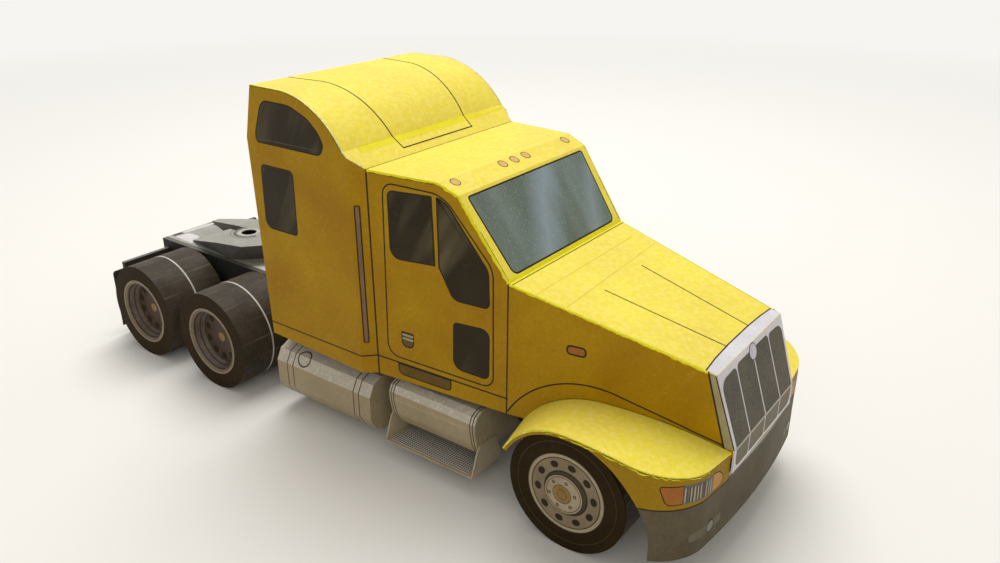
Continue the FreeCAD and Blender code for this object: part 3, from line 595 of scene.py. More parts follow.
for side, word in sides:
    look = cabLook
    cab = CardPrint("cab_print_" + word, "truck", "dark_card")
    place = sidePlane(planes["cab"], side)
    cab.area(look["door"], place, None, look["doorRounding"], lineWidth)
    for corners, rounding in look["panes"]:
        cab.area(corners, place, "paneDark", rounding, look["paneRim"])
    cab.area(look["handle"], place, "stepRecess", look["handleRounding"], lineWidth)
    for bar in look["handleBars"]:
        cab.stroke(bar, look["handleBarWidth"], place, "rimBright", 2)
    cab.area(look["recess"], place, "stepRecess", look["recessRounding"], look["recessRim"])
    cab.stroke(look["sill"], lineWidth, place, level=2)
    cab.stroke(look["cowlLine"], lineWidth, place)
    cab.stroke(look["rearEdge"], look["rearEdgeWidth"], place)
    cab.penLine(pointsAlong(look["feltRun"]), look["feltWidth"], place)
    cab.penLine(pointsAlong(look["roofDark"]), look["roofDarkWidth"], place, "oliveLine", 2, look["wander"])
    cab.finish()

    look = hoodLook
    hood = CardPrint("hood_print_" + word, "truck", "dark_card")
    place = sidePlane(planes["hood"], side)
    radius = look["archRadius"]
    hood.ring(look["archCentre"], radius - lineWidth / 2, radius + lineWidth / 2, place, "blackLine",
              steps=look["archSteps"], start=math.radians(look["archFrom"]),
              sweep=math.radians(look["archTo"] - look["archFrom"]))
    hood.stroke(look["archRun"], lineWidth, place)
    (mx, mz), (hx, hz) = look["marker"], look["markerHalf"]
    hood.area([(mx - hx, mz - hz), (mx + hx, mz - hz), (mx + hx, mz + hz), (mx - hx, mz + hz)], place,
              "amberLamp", look["markerRounding"], look["markerRim"])
    # the grille card's silver flap, painted in shade
    hood.area(look["flange"], place, "silverFlangeShaded")
    hood.stroke([look["flange"][0], look["flange"][3]], lineWidth, place, level=2)
    hood.stroke(look["seam"], look["seamWidth"], place, level=2)
    hood.penLine(pointsAlong(look["feltRun"]), look["feltWidth"], place)
    joint = [look["jointFrom"] + look["jointStep"] * part for part in range(look["jointCount"])]
    hood.penLine([(x, fenderTop(x, fenderLook["hoodRadius"])) for x in joint], look["jointWidth"], place,
                 "oliveLine", 2, look["wander"])
    hood.finish()
print("cab and hood prints laid")

# curve of the sleeper roof: level, an arc, and a straight flap down to the cab
roofCurve = {"levelRun": 10.2, "radius": 25.54, "sweep": 0.9812, "centre": (-11.425, 64.96),
             "flapTop": (9.775, 79.2), "flapRun": 4.8, "flapFall": 3.6}

# sleeper sides with the slanted strip
sleeperLook = {
    "panes": (([(-18.0, 87.45), (-7.4, 87.5), (-1.0, 85.2), (2.4, 82.3), (3.9, 79.6), (2.3, 76.9),
                (-21.2, 76.5), (-21.8, 78.4)], [2.2, 1.8, 1.2, 1.0, 1.0, 1.2, 0.9, 1.6]),
              ([(-20.9, 71.2), (-8.35, 71.45), (-8.85, 54.55), (-21.5, 54.2)], [1.6, 1.6, 1.2, 2.6])),
    "paneRim": 0.42, "paneGlint": [(-20.6, 77.6), (1.4, 78.1)], "glintWidth": 0.22,
    "skirt": [(-24.0, 26.65), (11.1, 27.8)], "stripSkirt": [(11.4, 27.8), (14.4, 28.15)],
    "bar": [(11.95, 67.0), (13.2, 67.0), (13.2, 31.5), (11.95, 31.5)], "barRounding": 0.45, "barRim": 0.26,
    "edgeFrom": 33.9, "edgeTo": 90.0, "edgeSteps": 48, "edgeEnd": -21.4, "edgeWidth": 0.26, "wander": 0.7}
for side, word in sides:
    look = sleeperLook
    sleeper = CardPrint("sleeper_print_" + word, "truck", "dark_card")
    place = sidePlane(planes["sleeper"], side)
    for corners, rounding in look["panes"]:
        sleeper.area(corners, place, "paneDark", rounding, look["paneRim"])
    sleeper.stroke(look["paneGlint"], look["glintWidth"], place, "greyLine", 2)
    sleeper.stroke(look["skirt"], lineWidth, place)
    arc = pointsRound(roofCurve["centre"], roofCurve["radius"], look["edgeFrom"], look["edgeTo"],
                      look["edgeSteps"])
    straight = pointsAlong([arc[-1], (look["edgeEnd"], arc[-1][1])])
    sleeper.penLine(arc + straight[1:], look["edgeWidth"], place, "oliveLine", 1, look["wander"])
    place = sidePlane(planes["strip"], side)
    sleeper.stroke(look["stripSkirt"], lineWidth, place)
    sleeper.area(look["bar"], place, "handleBar", look["barRounding"], look["barRim"])
    sleeper.finish()


def roofPoint(point):
    # (y, run along the sleeper roof, out) in mm to the frame
    y, run, out = point
    radius, (centreX, centreZ) = roofCurve["radius"], roofCurve["centre"]
    arcEnd = roofCurve["levelRun"] + radius * roofCurve["sweep"]
    if run < roofCurve["levelRun"]:
        x, z, lean = centreX - roofCurve["levelRun"] + run, centreZ + radius, 0.0
    elif run < arcEnd:
        lean = (run - roofCurve["levelRun"]) / radius
        x, z = centreX + radius * math.sin(lean), centreZ + radius * math.cos(lean)
    else:
        lean = math.atan2(roofCurve["flapFall"], roofCurve["flapRun"])
        x = roofCurve["flapTop"][0] + (run - arcEnd) * math.cos(lean)
        z = roofCurve["flapTop"][1] - (run - arcEnd) * math.sin(lean)
    return Vector((x + out * math.sin(lean), y, z + out * math.cos(lean))) * mm


def roofPointSwapped(point):
    # the slices of a patch follow its first axis, here the run along the roof
    return roofPoint(Vector((point.y, point.x, point.z)))


roofLook = {
    "hatch": [(0.4, 17.1), (39.0, 13.1), (39.0, -13.1), (0.4, -17.1)], "hatchWidth": 0.3, "slices": 1.3,
    "felt": [(35.0, -25.4), (37.0, -25.6), (36.7, 29.4), (36.0, 29.4), (35.1, 10.0)], "feltRounding": 0.3,
    "lamps": (-22.0, -4.6, 0.0, 4.6, 22.0), "lampRun": 1.75, "lampRadius": 1.3, "lampRim": 0.2,
    "glass": [(-23.3, 0.75), (23.3, 0.75), (21.7, 20.6), (-21.7, 20.6)], "glassRim": 0.42,
    "glassRounding": [1.0, 1.0, 1.8, 1.8],
    # strokes on the flat cards: card, line, width, finish and level
    "strokes": (("roof", [(-27.9, 0.22), (27.9, 0.22)], 0.32, "oliveLine", 1),
                ("roof", [(-25.9, 19.3), (25.9, 19.3)], 0.3, "foldWear", 1),
                ("header", [(-25.9, 0.3), (25.9, 0.3)], 0.25, "foldWear", 1),
                ("windshield", [(-24.68, 9.0), (-24.02, 20.8)], 0.16, "oliveLine", 1),
                ("windshield", [(24.68, 9.0), (24.02, 20.8)], 0.16, "oliveLine", 1),
                ("hoodTop", [(-24.0, 0.66), (24.0, 0.66)], 0.24, "oliveLine", 2),
                ("hoodTop", [(-23.6, 6.2), (19.0, 6.0)], 0.2, "creaseLine", 1),
                ("hoodTop", [(-21.6, 13.2), (21.9, 11.4)], 0.2, "creaseLine", 1),
                ("hoodTop", [(8.6, 14.9), (5.9, 43.1)], 0.3, "blackLine", 1),
                ("hoodTop", [(-8.6, 14.9), (-5.9, 43.1)], 0.3, "blackLine", 1)),
    # felt pen across the foot of the windshield and the head of the hood: card, half widths and runs
    "feltBands": (("windshield", (24.3, 20.75), (24.2, 21.55)), ("hoodTop", (24.1, 0.02), (24.0, 0.55))),
    "crown": [(-17.4, 46.35), (17.4, 46.35), (17.2, 44.0), (12.0, 43.55), (5.0, 43.3), (-5.0, 43.3),
              (-12.0, 43.55), (-17.2, 44.0)], "crownWidth": 0.3,
    "wearRun": (16.0, 41.0), "wearSteps": 50, "wearInset": 0.05, "wearWidth": 0.42, "wander": 0.9}
look = roofLook
roof = CardPrint("roof_print", "truck", "dark_card")
flats = {name: crossPlane(*planes[name]) for name in ("roof", "header", "windshield", "hoodTop")}
roof.stroke(look["hatch"], look["hatchWidth"], roofPointSwapped, level=2, slices=look["slices"])
roof.area(look["felt"], roofPointSwapped, "feltPen", look["feltRounding"])
for y in look["lamps"]:
    roof.disc((y, look["lampRun"]), look["lampRadius"], flats["header"], "peachLamp", look["lampRim"])
roof.area(look["glass"], flats["windshield"], "windshieldPrint", look["glassRounding"], look["glassRim"])
for name, (half, run), (halfEnd, runEnd) in look["feltBands"]:
    roof.area([(-half, run), (half, run), (halfEnd, runEnd), (-halfEnd, runEnd)], flats[name], "feltPen")
for name, points, width, finish, level in look["strokes"]:
    roof.stroke(points, width, flats[name], finish, level)
roof.area(look["crown"], flats["hoodTop"], "grilleFrame")
roof.stroke(look["crown"][2:], look["crownWidth"], flats["hoodTop"], level=2)
for side in (-1, 1):
    # paper shows where the roof's edge is rubbed
    edge = []
    low, high = look["wearRun"]
    for part in range(look["wearSteps"] + 1):
        run = low + (high - low) * part / look["wearSteps"]
        x = roofPoint(Vector((0, run, 0))).x / mm
        half = min(halfAt(planes["sleeper"], x), halfAt(planes["strip"], x))
        edge.append((side * (half - look["wearInset"]), run))
    roof.penLine(edge[::-side], -look["wearWidth"], roofPoint, "paperEdge", 1, look["wander"])
roof.finish()
print("roof, windshield and hood top printed")

# grille card: windows of the upper card and of its foot, mirrored
grilleLook = {
    "upper": (([(0.24, 1.35), (8.43, 1.35), (8.43, 16.45), (0.24, 16.45)], [1.3, 1.3, 0.1, 0.1]),
              ([(8.91, 1.55), (16.35, 1.85), (15.7, 16.45), (8.91, 16.45)], [1.3, 2.4, 0.1, 0.1])),
    "foot": (([(0.24, 0.35), (8.43, 0.35), (8.43, 4.75), (0.24, 4.75)], [0.1, 0.1, 0.5, 0.5]),
             ([(8.91, 0.35), (15.7, 0.35), (15.5, 4.65), (8.91, 4.75)], [0.1, 0.1, 1.6, 0.5])),
    "boss": (0.0, 1.95), "bossRadius": 1.9, "bossRim": 0.2,
    "footLine": [(-15.9, 16.62), (15.9, 16.62)], "footLineWidth": 0.26}


def mirrored(points, side):
    return [(side * a, b) for a, b in points]


look = grilleLook
grille = CardPrint("grille_print", "truck", "silver_card")
high = crossPlane(*planes["grille"])
low = crossPlane(*planes["grilleFoot"])
for side in (-1, 1):
    for place, key, finish in ((high, "upper", "grillePanel"), (low, "foot", "grilleFoot")):
        for corners, rounding in look[key]:
            grille.area(mirrored(corners, side), place, finish, rounding)
grille.disc(look["boss"], look["bossRadius"], high, "bossSilver", look["bossRim"], 2, line="greyLine")
grille.stroke(look["footLine"], look["footLineWidth"], high, "paleLine", 2)
grille.finish()

# plan of the front band: a wide arc in front, a corner arc, then straight back
noseCurve = {"frontX": 102.425, "frontRadius": 200.0, "cornerRadius": 13.1, "corner": (87.905, 23.0)}


def nosePoint(point):
    # (run round the nose from the middle, z, out) in mm to the frame; the left side is positive
    run, z, out = point
    side = -1 if run < 0 else 1
    run = abs(run)
    cornerX, cornerY = noseCurve["corner"]
    frontRadius, cornerRadius = noseCurve["frontRadius"], noseCurve["cornerRadius"]
    frontCentre = noseCurve["frontX"] - frontRadius
    turn = math.atan2(cornerY, cornerX - frontCentre)
    frontRun = frontRadius * turn
    cornerRun = cornerRadius * (math.pi / 2 - turn)
    if run < frontRun:
        angle = run / frontRadius
        x, y = frontCentre + (frontRadius + out) * math.cos(angle), (frontRadius + out) * math.sin(angle)
    elif run < frontRun + cornerRun:
        angle = turn + (run - frontRun) / cornerRadius
        x = cornerX + (cornerRadius + out) * math.cos(angle)
        y = cornerY + (cornerRadius + out) * math.sin(angle)
    else:
        x, y = cornerX - (run - frontRun - cornerRun), cornerY + cornerRadius + out
    return Vector((x, side * y, z)) * mm


# front band: lamps and bumper
bandLook = {
    "lamps": (([(36.8, 28.1), (31.6, 27.95), (31.6, 23.45), (35.1, 23.4)], "amberLamp",
               [0.9, 0.1, 0.1, 1.2]),
              ([(31.6, 27.95), (23.45, 27.4), (23.45, 22.85), (31.6, 23.45)], "clearLamp", 0.0),
              ([(23.45, 27.4), (21.2, 27.1), (18.9, 24.8), (19.9, 22.9), (23.45, 22.85)], "paleAmber",
               [0.1, 1.2, 1.3, 1.0, 0.1])),
    "lampRim": 0.22, "slices": 0.9, "ribWidth": 0.26, "ribFoot": (23.45, 22.95), "ribSlope": 0.074,
    # ribs of the clear lamp: where they stand, how far over the foot they start and end, and their finish
    "ribs": (((24.6, 25.3, 26.3, 26.8, 27.9, 28.5, 29.5, 30.2, 30.8), 0.3, 3.9, "greyLine"),
             ((24.2, 24.95, 25.8, 27.35, 28.2, 29.0, 29.85, 31.2), 0.5, 3.6, "paleLine")),
    "bar": [(18.4, 13.2), (29.4, 13.2), (29.4, 15.4), (18.4, 15.4)], "barRounding": 0.9,
    "fog": (22.7, 14.2), "fogRadius": 1.45, "boundary": [(16.6, 22.3), (40.2, 22.3)], "boundaryWidth": 0.3,
    "seamFrom": 17.6, "seamTo": 62.0, "seamSteps": 60, "seamRise": 0.1, "seamWidth": 0.24, "seamWander": 0.9,
    "feltFrom": 10, "feltWidth": 0.42, "feltLevel": 0.4, "feltWander": 0.8,
    # strips under the grille: corners, finish and level
    "strips": (([(-16.9, 22.2), (16.9, 22.2), (16.7, 23.2), (-16.7, 23.2)], "bumperFace", 0.5),
               ([(-16.5, 23.1), (16.5, 23.1), (16.4, 23.95), (-16.4, 23.95)], "paleLine", 1.2))}
look = bandLook
band = CardPrint("band_print", "truck", "bumper_card")
for side in (-1, 1):
    for corners, finish, rounding in look["lamps"]:
        band.area(mirrored(corners, side), nosePoint, finish, rounding, look["lampRim"],
                  slices=look["slices"])
    for runs, start, end, finish in look["ribs"]:
        for run in runs:
            foot = look["ribFoot"][1] + (run - look["ribFoot"][0]) * look["ribSlope"]
            band.stroke(mirrored([(run, foot + start), (run, foot + end)], side), look["ribWidth"], nosePoint,
                        finish, 2)
    band.area(mirrored(look["bar"], side), nosePoint, "bumperBar", look["barRounding"], slices=look["slices"])
    fogRun, fogZ = look["fog"]
    band.disc((side * fogRun, fogZ), look["fogRadius"], nosePoint, "fogLamp", look["lampRim"], 2)
    band.stroke(mirrored(look["boundary"], side), look["boundaryWidth"], nosePoint, slices=look["slices"])
    seam = []
    for part in range(look["seamSteps"] + 1):
        run = look["seamFrom"] + (look["seamTo"] - look["seamFrom"]) * part / look["seamSteps"]
        x = nosePoint(Vector((run, 0, 0))).x / mm
        under = fenderTop(x, fenderLook["rimRadius"]) - fenderLook["card"]
        seam.append((side * run, under + look["seamRise"]))
    band.penLine(seam, -side * look["seamWidth"], nosePoint, "oliveLine", 1, look["seamWander"])
    band.penLine(seam[look["feltFrom"]:], -side * look["feltWidth"], nosePoint, "feltPen", look["feltLevel"],
                 look["feltWander"])
for corners, finish, level in look["strips"]:
    band.area(corners, nosePoint, finish, slices=look["slices"], level=level)
band.finish()
print("grille and front band printed")

# tanks, tool boxes and step trays; outlines are (y, z) from the top inner edge round to the lower one
tankLook = {
    "outline": [(9.8, 19.4), (24.5, 19.4), (27.4, 18.1), (29.1, 15.0), (29.1, 8.2), (27.4, 5.3), (24.5, 4.0),
                (14.4, 4.0)],
    "bands": (-19.6, -17.3, 5.7, 7.6), "bandWidth": 0.3, "middle": (16.0, 12.0),
    "cap": (-13.8, 3.7), "capRadius": 2.45, "capLine": 0.45, "capSteps": 48}
boxLook = {
    "outline": [(9.8, 21.0), (24.6, 21.0), (26.5, 20.1), (27.4, 18.4), (27.4, 16.3), (26.6, 12.2),
                (25.4, 9.6), (9.8, 9.6)],
    "bands": (17.7, 18.55, 42.75, 43.55), "bandWidth": 0.28, "middle": (16.0, 12.0)}
trayLook = {"grid": [(18.3, 18.6), (43.1, 18.6), (43.1, 28.7), (18.3, 28.7)], "floor": 5.2}


def wrappedBands(piece, look, side, fill):
    # lines printed round a folded box
    width = look["bandWidth"]
    for x in look["bands"]:
        strip = bmesh.new()
        verts = [strip.verts.new((x - width / 2, side * y, z)) for y, z in look["outline"]]
        edges = [strip.edges.new(pair) for pair in zip(verts[:-1], verts[1:])]
        grown = bmesh.ops.extrude_edge_only(strip, edges=edges)["geom"]
        far = [part for part in grown if isinstance(part, bmesh.types.BMVert)]
        bmesh.ops.translate(strip, verts=far, vec=(width, 0, 0))
        middle = Vector((x, side * look["middle"][0], look["middle"][1]))
        piece.wrap(strip, fill, lambda flat: middle, printLook["wrapped"], 1)


def tankPoint(point, side):
    # (x, run down the tank's folded flank, out) in mm to the frame
    x, run, out = point
    outline = tankLook["outline"][1:5]
    for (y0, z0), (y1, z1) in zip(outline[:-1], outline[1:]):
        length = math.hypot(y1 - y0, z1 - z0)
        if run <= length or (y1, z1) == outline[-1]:
            break
        run -= length
    ty, tz = (y1 - y0) / length, (z1 - z0) / length
    return Vector((x, side * (y0 + ty * run - tz * out), z0 + tz * run + ty * out)) * mm


for side, word in sides:
    look = tankLook
    tank = CardPrint("tank_print_" + word, "truck", "grey_card")
    wrappedBands(tank, tankLook, side, "greyLine")
    tank.ring(look["cap"], look["capRadius"] - look["capLine"], look["capRadius"],
              lambda point: tankPoint(point, side), "greyLine", steps=look["capSteps"])
    wrappedBands(tank, boxLook, side, "greyLine")
    rows = ((1, 0, 0, 0), (0, side, 0, 0), (0, 0, 1, trayLook["floor"]), (0, 0, 0, 1))
    tank.area(trayLook["grid"], toMetres @ Matrix(rows), "stepGrid")
    tank.finish()

# chassis top
deckLook = {
    "top": 27.0,
    # corners, finish, rounding and level
    "patches": (([(-102.3, -9.8), (-22.5, -9.8), (-22.5, 9.8), (-102.3, 9.8)], "chassisRail", 0.0, 1),
                ([(-102.3, -8.1), (-22.5, -8.1), (-22.5, 8.1), (-102.3, 8.1)], "chassisPrint", 0.0, 2),
                ([(-58.5, -8.0), (-26.0, -8.0), (-26.0, -3.6), (-52.0, -4.2)], "whiteCard", 0.8, 3),
                ([(-100.0, -6.6), (-90.0, -7.2), (-93.5, -1.5), (-99.0, -1.8)], "whiteCard", 0.8, 3),
                ([(-101.9, -2.7), (-100.1, -2.4), (-99.6, 9.3), (-101.4, 9.3)], "whiteCard", 0.3, 3),
                ([(-102.1, -6.6), (-100.5, -6.4), (-100.2, -3.0), (-101.9, -3.0)], "mauveMark", 0.3, 3))}
deck = CardPrint("deck_print", "truck", "light_card")
place = toMetres @ Matrix.Translation((0, 0, deckLook["top"]))
for corners, finish, rounding, level in deckLook["patches"]:
    deck.area(corners, place, finish, rounding, level=level)
deck.finish()

# fifth wheel: one folded card with its walls drawn in under it, from the pin; y is for the left side
plateLook = {
    "pin": -68.525, "top": 33.6, "deck": 27.0, "hole": 2.4, "holeSides": 40, "card": 0.3,
    # each corner's (x, y) on the plate and (x, y) where its wall meets the deck
    "corners": {"front": ((12.6, 5.3), (7.8, 1.6)), "corner": ((8.5, 9.8), (3.7, 6.1)),
                "wide": ((-0.4, 12.0), (-0.4, 8.3)), "slotEnd": ((-4.5, 1.5), (-4.5, 1.5)),
                "slotBend": ((-7.4, 1.7), (-7.4, 1.7)), "bend": ((-7.4, 9.8), (-7.4, 6.1)),
                "tip": ((-23.19, 5.6), (-23.19, 5.5)), "slotTip": ((-23.19, 2.77), (-23.19, 2.77))},
    # upper and lower height of the tips: the left ramp is bent up, the right one falls to the deck
    "tipHeights": {1: (31.6, 31.2), -1: (27.4, 27.0)},
    "made": (("front", -1), ("front", 1), ("corner", -1), ("corner", 1), ("wide", -1), ("wide", 1),
             ("slotEnd", -1), ("slotEnd", 1), ("slotBend", -1), ("slotBend", 1), ("bend", 1), ("tip", 1),
             ("slotTip", 1), ("tip", -1), ("slotTip", -1)),
    "plate": (("front", -1), ("corner", -1), ("wide", -1), ("slotBend", -1), ("slotEnd", -1), ("slotEnd", 1),
              ("slotBend", 1), ("bend", 1), ("wide", 1), ("corner", 1), ("front", 1)),
    "ramps": ((("slotBend", 1), ("slotTip", 1), ("tip", 1), ("bend", 1)),
              (("slotBend", -1), ("tip", -1), ("slotTip", -1)),
              (("slotBend", -1), ("wide", -1), ("tip", -1))),
    # rings printed round the pin hole: radii, finish, steps, start and sweep in degrees
    "rings": ((2.4, 3.5, "pinRing", 48, 0.0, 360.0), (3.9, 4.9, "chassisRail", 40, 150.0, 200.0),
              (5.7, 5.85, "greyLine", 40, 150.0, 200.0))}
look = plateLook
plateCard = bmesh.new()
upper, lower = {}, {}
for name, side in look["made"]:
    (x, y), (lowX, lowY) = look["corners"][name]
    high, low = look["tipHeights"][side] if name.lower().endswith("tip") else (look["top"], look["deck"])
    upper[name, side] = plateCard.verts.new((x, side * y, high))
    lower[upper[name, side]] = Vector((lowX, side * lowY, low))
rim = [plateCard.edges.new((upper[one], upper[two]))
       for one, two in zip(look["plate"], look["plate"][1:] + look["plate"][:1])]
hole = bmesh.ops.create_circle(plateCard, segments=look["holeSides"], radius=look["hole"],
                               matrix=Matrix.Translation((0, 0, look["top"])))
pinEdges = {edge for vert in hole["verts"] for edge in vert.link_edges}
bmesh.ops.triangle_fill(plateCard, use_beauty=True, use_dissolve=False, edges=rim + list(pinEdges))
for names in look["ramps"]:
    plateCard.faces.new([upper[name] for name in names])
bmesh.ops.recalc_face_normals(plateCard, faces=plateCard.faces[:])
if sum(face.normal.z for face in plateCard.faces) < 0:
    bmesh.ops.reverse_faces(plateCard, faces=plateCard.faces[:])
border = [edge for edge in plateCard.edges if len(edge.link_faces) == 1 and edge not in pinEdges]
for part in bmesh.ops.extrude_edge_only(plateCard, edges=border)["geom"]:
    if isinstance(part, bmesh.types.BMFace):
        part.material_index = 1
    elif isinstance(part, bmesh.types.BMVert):
        ends = [edge.other_vert(part) for edge in part.link_edges]
        part.co = next(lower[vert] for vert in ends if vert in lower)
bmesh.ops.recalc_face_normals(plateCard, faces=plateCard.faces[:])
if max(plateCard.faces, key=lambda face: face.calc_area()).normal.z < 0:
    bmesh.ops.reverse_faces(plateCard, faces=plateCard.faces[:])
bmesh.ops.solidify(plateCard, geom=plateCard.faces[:], thickness=look["card"])
bmesh.ops.recalc_face_normals(plateCard, faces=plateCard.faces[:])
atPin = toMetres @ Matrix.Translation((look["pin"], 0, 0))
bmesh.ops.transform(plateCard, matrix=atPin, verts=plateCard.verts[:])
plateMesh = bpy.data.meshes.new("fifth_wheel_card")
plateCard.to_mesh(plateMesh)
plateCard.free()
fifthWheel = addPiece("fifth_wheel_card", plateMesh, "truck", ["plateTop", "plateWall"])
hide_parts("fifth_wheel")

plate = CardPrint("plate_print", "truck", "light_card")
place = atPin @ Matrix.Translation((0, 0, look["top"]))
for inner, outer, finish, steps, start, sweep in look["rings"]:
    plate.ring((0, 0), inner, outer, place, finish, 1, steps, math.radians(start), math.radians(sweep))
plate.finish()
print("tanks, trays and fifth wheel printed")


def dotsRound(piece, look, centre, place):
    # a ring of holes or nuts
    for number in range(look["count"]):
        angle = 2 * math.pi * (number + look["first"]) / look["count"]
        at = (centre[0] + look["at"] * math.cos(angle), centre[1] + look["at"] * math.sin(angle))
        piece.disc(at, look["size"], place, look["finish"], look["rim"], look["level"], look["sides"],
                   narrow=look["narrow"], turn=angle if look["narrow"] != 1.0 else 0.0)


# front wheels
wheelLook = {
    "x": 72.075, "z": 14.6, "y": 31.6,
    # printed discs: centre, radius, finish, outline, level, sides and outline's finish
    "discs": (((0.0, 0.0), 9.75, "rimGrey", 0.22, 1, 72, "blackLine"),
              ((0.1, 0.1), 5.5, "blackLine", 0.0, 1.6, 56, "blackLine"),
              ((0.1, 0.1), 5.2, "rimShade", 0.0, 2.2, 56, "blackLine"),
              ((-0.45, -0.5), 4.85, "rimBright", 0.14, 2.8, 56, "blackLine"),
              ((-0.85, -0.6), 2.35, "hubBrass", 0.12, 3.8, 36, "rimShade"),
              ((-0.85, -0.6), 1.25, "hubBrass", 0.12, 4.8, 28, "rimShade")),
    # printed rings: centre, radii, finish, level and steps
    "rings": (((0.0, 0.0), 12.35, 12.5, "rimShade", 0.6, 64),
              ((0.0, 0.0), 8.75, 9.4, "rimBright", 1.6, 64),
              ((0.0, 0.0), 8.5, 8.7, "blackLine", 1.6, 64),
              ((-0.45, -0.5), 4.2, 4.36, "rimShade", 3.6, 48)),
    "holes": {"count": 10, "first": 0.18, "at": 7.05, "size": 1.02, "finish": "blackLine", "rim": 0.0,
              "level": 2, "sides": 20, "narrow": 0.8},
    "nuts": {"count": 6, "first": 0.2, "at": 3.3, "size": 0.42, "finish": "rimGrey", "rim": 0.14,
             "level": 3.8, "sides": 16, "narrow": 1.0},
    "hub": (-0.85, -0.6)}
for side, word in sides:
    look = wheelLook
    rim = CardPrint("front_rim_print_" + word, "front_wheelset", "wheel_card")
    place = sidePlane((look["x"], look["y"], 0.0), side) @ Matrix.Translation((look["x"], look["z"], 0))
    for centre, inner, outer, finish, level, steps in look["rings"]:
        rim.ring(centre, inner, outer, place, finish, level, steps)
    for centre, radius, finish, outline, level, count, line in look["discs"]:
        rim.disc(centre, radius, place, finish, outline, level, count, line)
    dotsRound(rim, look["holes"], (0.0, 0.0), place)
    dotsRound(rim, look["nuts"], look["hub"], place)
    rim.finish()


def hoop(piece, x, z, first, last, fill, facing):
    # printed band round a wheel, spun from one short edge; first and last are (y, radius) in mm
    band = bmesh.new()
    ends = [band.verts.new((x, y, z + radius)) for y, radius in (first, last)]
    bmesh.ops.spin(band, geom=ends + [band.edges.new(ends)], cent=(x, 0, z), axis=(0, 1, 0),
                   angle=2 * math.pi, steps=printLook["hoopSteps"], use_merge=True)
    piece.wrap(band, fill, lambda flat: Vector((x, flat.calc_center_median().y, z)), printLook["hoop"],
               facing)


# rear twin wheels
twinLook = {
    "x": (-47.725, -81.325), "z": 14.6, "y": 32.9, "radius": 14.6, "dish": 3.6, "rim": 9.6, "floor": 8.4,
    "faceRing": (9.7, 14.55), "rimRing": (9.62, 10.15), "ringSteps": 72,
    "floorRadius": 7.9, "floorRim": 0.2, "floorSides": 60, "floorRing": (4.3, 4.5), "floorSteps": 48,
    "hubRadius": 1.6, "hubRim": 0.2, "hubSides": 32,
    "holes": {"count": 10, "first": 0.5, "at": 6.1, "size": 1.1, "finish": "blackLine", "rim": 0.0,
              "level": 2, "sides": 18, "narrow": 1.0},
    # rings round the dish's wall, from the rim inwards: start, end and finish; skin is its radius at the rim
    "skin": 9.2,
    "wallRings": ((0.0, 0.45, "rimBeige"), (0.75, 0.95, "blackLine"), (2.2, 2.5, "rimShade")),
    "line": 22.6, "lineWidth": 0.5}
for number, x in enumerate(twinLook["x"], 1):
    for side, word in sides:
        look = twinLook
        rim = CardPrint("twin_rim_print_%d_%s" % (number, word), "rear_wheelset_%d" % number, "wheel_card")
        centre = Matrix.Translation((x, look["z"], 0))
        place = sidePlane((x, look["y"], 0.0), side) @ centre
        deep = sidePlane((x, look["y"] - look["dish"], 0.0), side) @ centre
        rim.ring((0, 0), *look["faceRing"], place, "tyreFace", 1, look["ringSteps"])
        rim.ring((0, 0), *look["rimRing"], place, "rimBeige", 2, look["ringSteps"])
        rim.disc((0, 0), look["floorRadius"], deep, "dishFloor", look["floorRim"], 1, look["floorSides"])
        dotsRound(rim, look["holes"], (0.0, 0.0), deep)
        rim.ring((0, 0), *look["floorRing"], deep, "rimShade", 2, look["floorSteps"])
        rim.disc((0, 0), look["hubRadius"], deep, "hubBrass", look["hubRim"], 2, look["hubSides"], "rimShade")
        slope = (look["rim"] - look["floor"]) / look["dish"]
        for start, end, finish in look["wallRings"]:
            hoop(rim, x, look["z"], (side * (look["y"] - start), look["skin"] - slope * start),
                 (side * (look["y"] - end), look["skin"] - slope * end), finish, -1)
        half = look["lineWidth"] / 2
        hoop(rim, x, look["z"], (side * look["line"] - half, look["radius"]),
             (side * look["line"] + half, look["radius"]), "treadLine", 1)
        rim.finish()
print("wheels printed")

stageLook = {"pale": ink(236, 233, 226), "rough": 0.8, "white": ink(247, 245, 241), "fadeFrom": 0.16,
             "fadeTo": 0.75, "cloudMm": 60.0, "cloudDark": 0.985, "size": 3.0, "drop": 0.06,
             "air": (1.0, 0.985, 0.96, 1.0), "room": 0.42, "aim": (0.0, 0.0, 0.04)}


def seenDirectly(tree):
    # 1 for the rays that show a background: camera, mirror and glass rays
    rays = addNode(tree, "ShaderNodeLightPath", {}).outputs
    both = mathNode(tree, "MAXIMUM", rays["Is Camera Ray"], rays["Is Glossy Ray"])
    return mathNode(tree, "MAXIMUM", both, rays["Is Transmission Ray"])


def floorFinish(name, look):
    # pale floor that runs out to an even white well away from the model
    material, tree, shader, coords = newFinish(name)
    cloud = noiseNode(tree, coords["Object"], look["cloudMm"])
    darker = tuple(look["cloudDark"] * part for part in look["pale"][:3]) + (1.0,)
    tree.links.new(mixInk(tree, cloud, look["pale"], darker), shader.inputs["Base Color"])
    shader.inputs["Roughness"].default_value = look["rough"]
    away = addNode(tree, "ShaderNodeVectorMath", {0: coords["Object"]}, operation="LENGTH").outputs["Value"]
    fade = spread(tree, away, look["fadeFrom"], look["fadeTo"])
    share = mathNode(tree, "MULTIPLY", fade, seenDirectly(tree))
    glow = addNode(tree, "ShaderNodeEmission", {"Color": look["white"]}).outputs[0]
    both = addNode(tree, "ShaderNodeMixShader", {0: share, 1: shader.outputs[0], 2: glow}).outputs[0]
    tree.links.new(both, tree.nodes["Material Output"].inputs["Surface"])
    return material


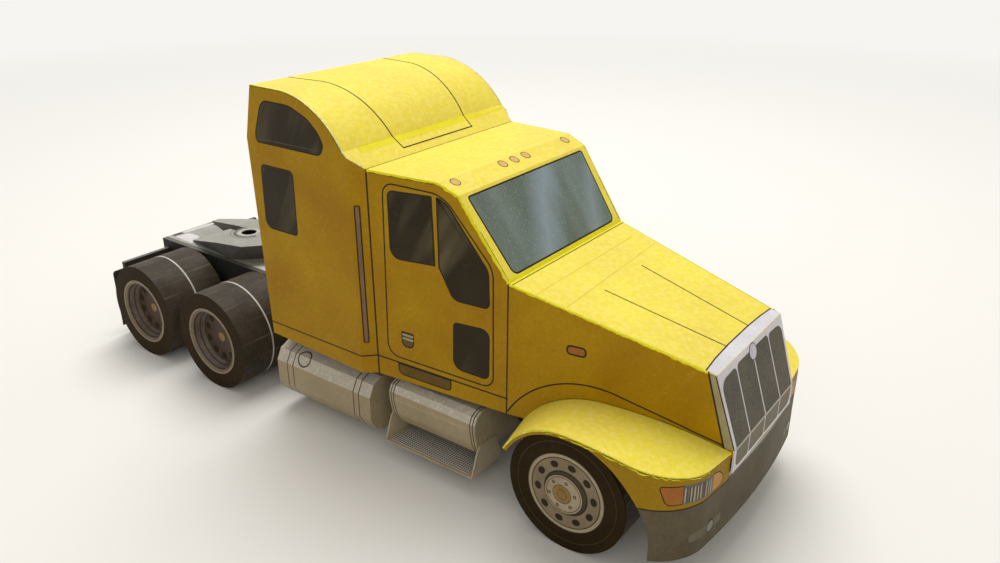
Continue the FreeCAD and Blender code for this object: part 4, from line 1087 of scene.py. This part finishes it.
floorMesh = bpy.data.meshes.new("table_floor")
floorShape = bmesh.new()
bmesh.ops.create_grid(floorShape, x_segments=1, y_segments=1, size=stageLook["size"])
bmesh.ops.translate(floorShape, verts=floorShape.verts[:], vec=(0, 0, -stageLook["drop"] * mm))
floorShape.to_mesh(floorMesh)
floorShape.free()
floorMesh.materials.append(floorFinish("paleFloor", stageLook))
floor = bpy.data.objects.new("table_floor", floorMesh)
bpy.context.scene.collection.objects.link(floor)

lampLook = {
    "key": {"place": (-0.15, 0.25, 0.75), "size": 0.7, "power": 5.5},
    "fill": {"place": (0.45, -0.6, 0.4), "size": 0.9, "power": 1.6}}
for name, lamp in lampLook.items():
    light = bpy.data.lights.new(name, "AREA")
    light.shape = "DISK"
    light.size = lamp["size"]
    light.energy = lamp["power"]
    holder = bpy.data.objects.new(name, light)
    holder.location = lamp["place"]
    aim = Vector(stageLook["aim"]) - Vector(lamp["place"])
    holder.rotation_euler = aim.to_track_quat("-Z", "Y").to_euler()
    bpy.context.scene.collection.objects.link(holder)

world = bpy.data.worlds.new("softRoom")
bpy.context.scene.world = world
world.use_nodes = True
tree = world.node_tree
ground = tree.nodes["Background"]
ground.inputs["Color"].default_value = stageLook["air"]
ground.inputs["Strength"].default_value = stageLook["room"]
seen = addNode(tree, "ShaderNodeBackground", {"Color": stageLook["white"], "Strength": 1.0}).outputs[0]
both = addNode(tree, "ShaderNodeMixShader", {0: seenDirectly(tree), 1: ground.outputs[0], 2: seen}).outputs[0]
tree.links.new(both, tree.nodes["World Output"].inputs["Surface"])

cameraLook = {"lens": 31.229, "sensor": 36.0, "near": 0.005, "far": 20.0,
              "place": (0.15116, -0.16152, 0.13135), "yaw": 2.2086008, "pitch": 0.4168073,
              "roll": -0.0034537}
lens = bpy.data.cameras.new("photo_view")
lens.lens = cameraLook["lens"]
lens.sensor_width = cameraLook["sensor"]
lens.clip_start = cameraLook["near"]
lens.clip_end = cameraLook["far"]
camera = bpy.data.objects.new("photo_view", lens)
turn = (Matrix.Rotation(cameraLook["yaw"] - math.pi / 2, 4, "Z")
        @ Matrix.Rotation(math.pi / 2 - cameraLook["pitch"], 4, "X")
        @ Matrix.Rotation(cameraLook["roll"], 4, "Z"))
camera.matrix_world = Matrix.Translation(cameraLook["place"]) @ turn
bpy.context.scene.collection.objects.link(camera)
bpy.context.scene.camera = camera
bpy.context.scene.view_settings.view_transform = "Standard"
print("floor, lights and camera set")

bpy.context.view_layer.update()
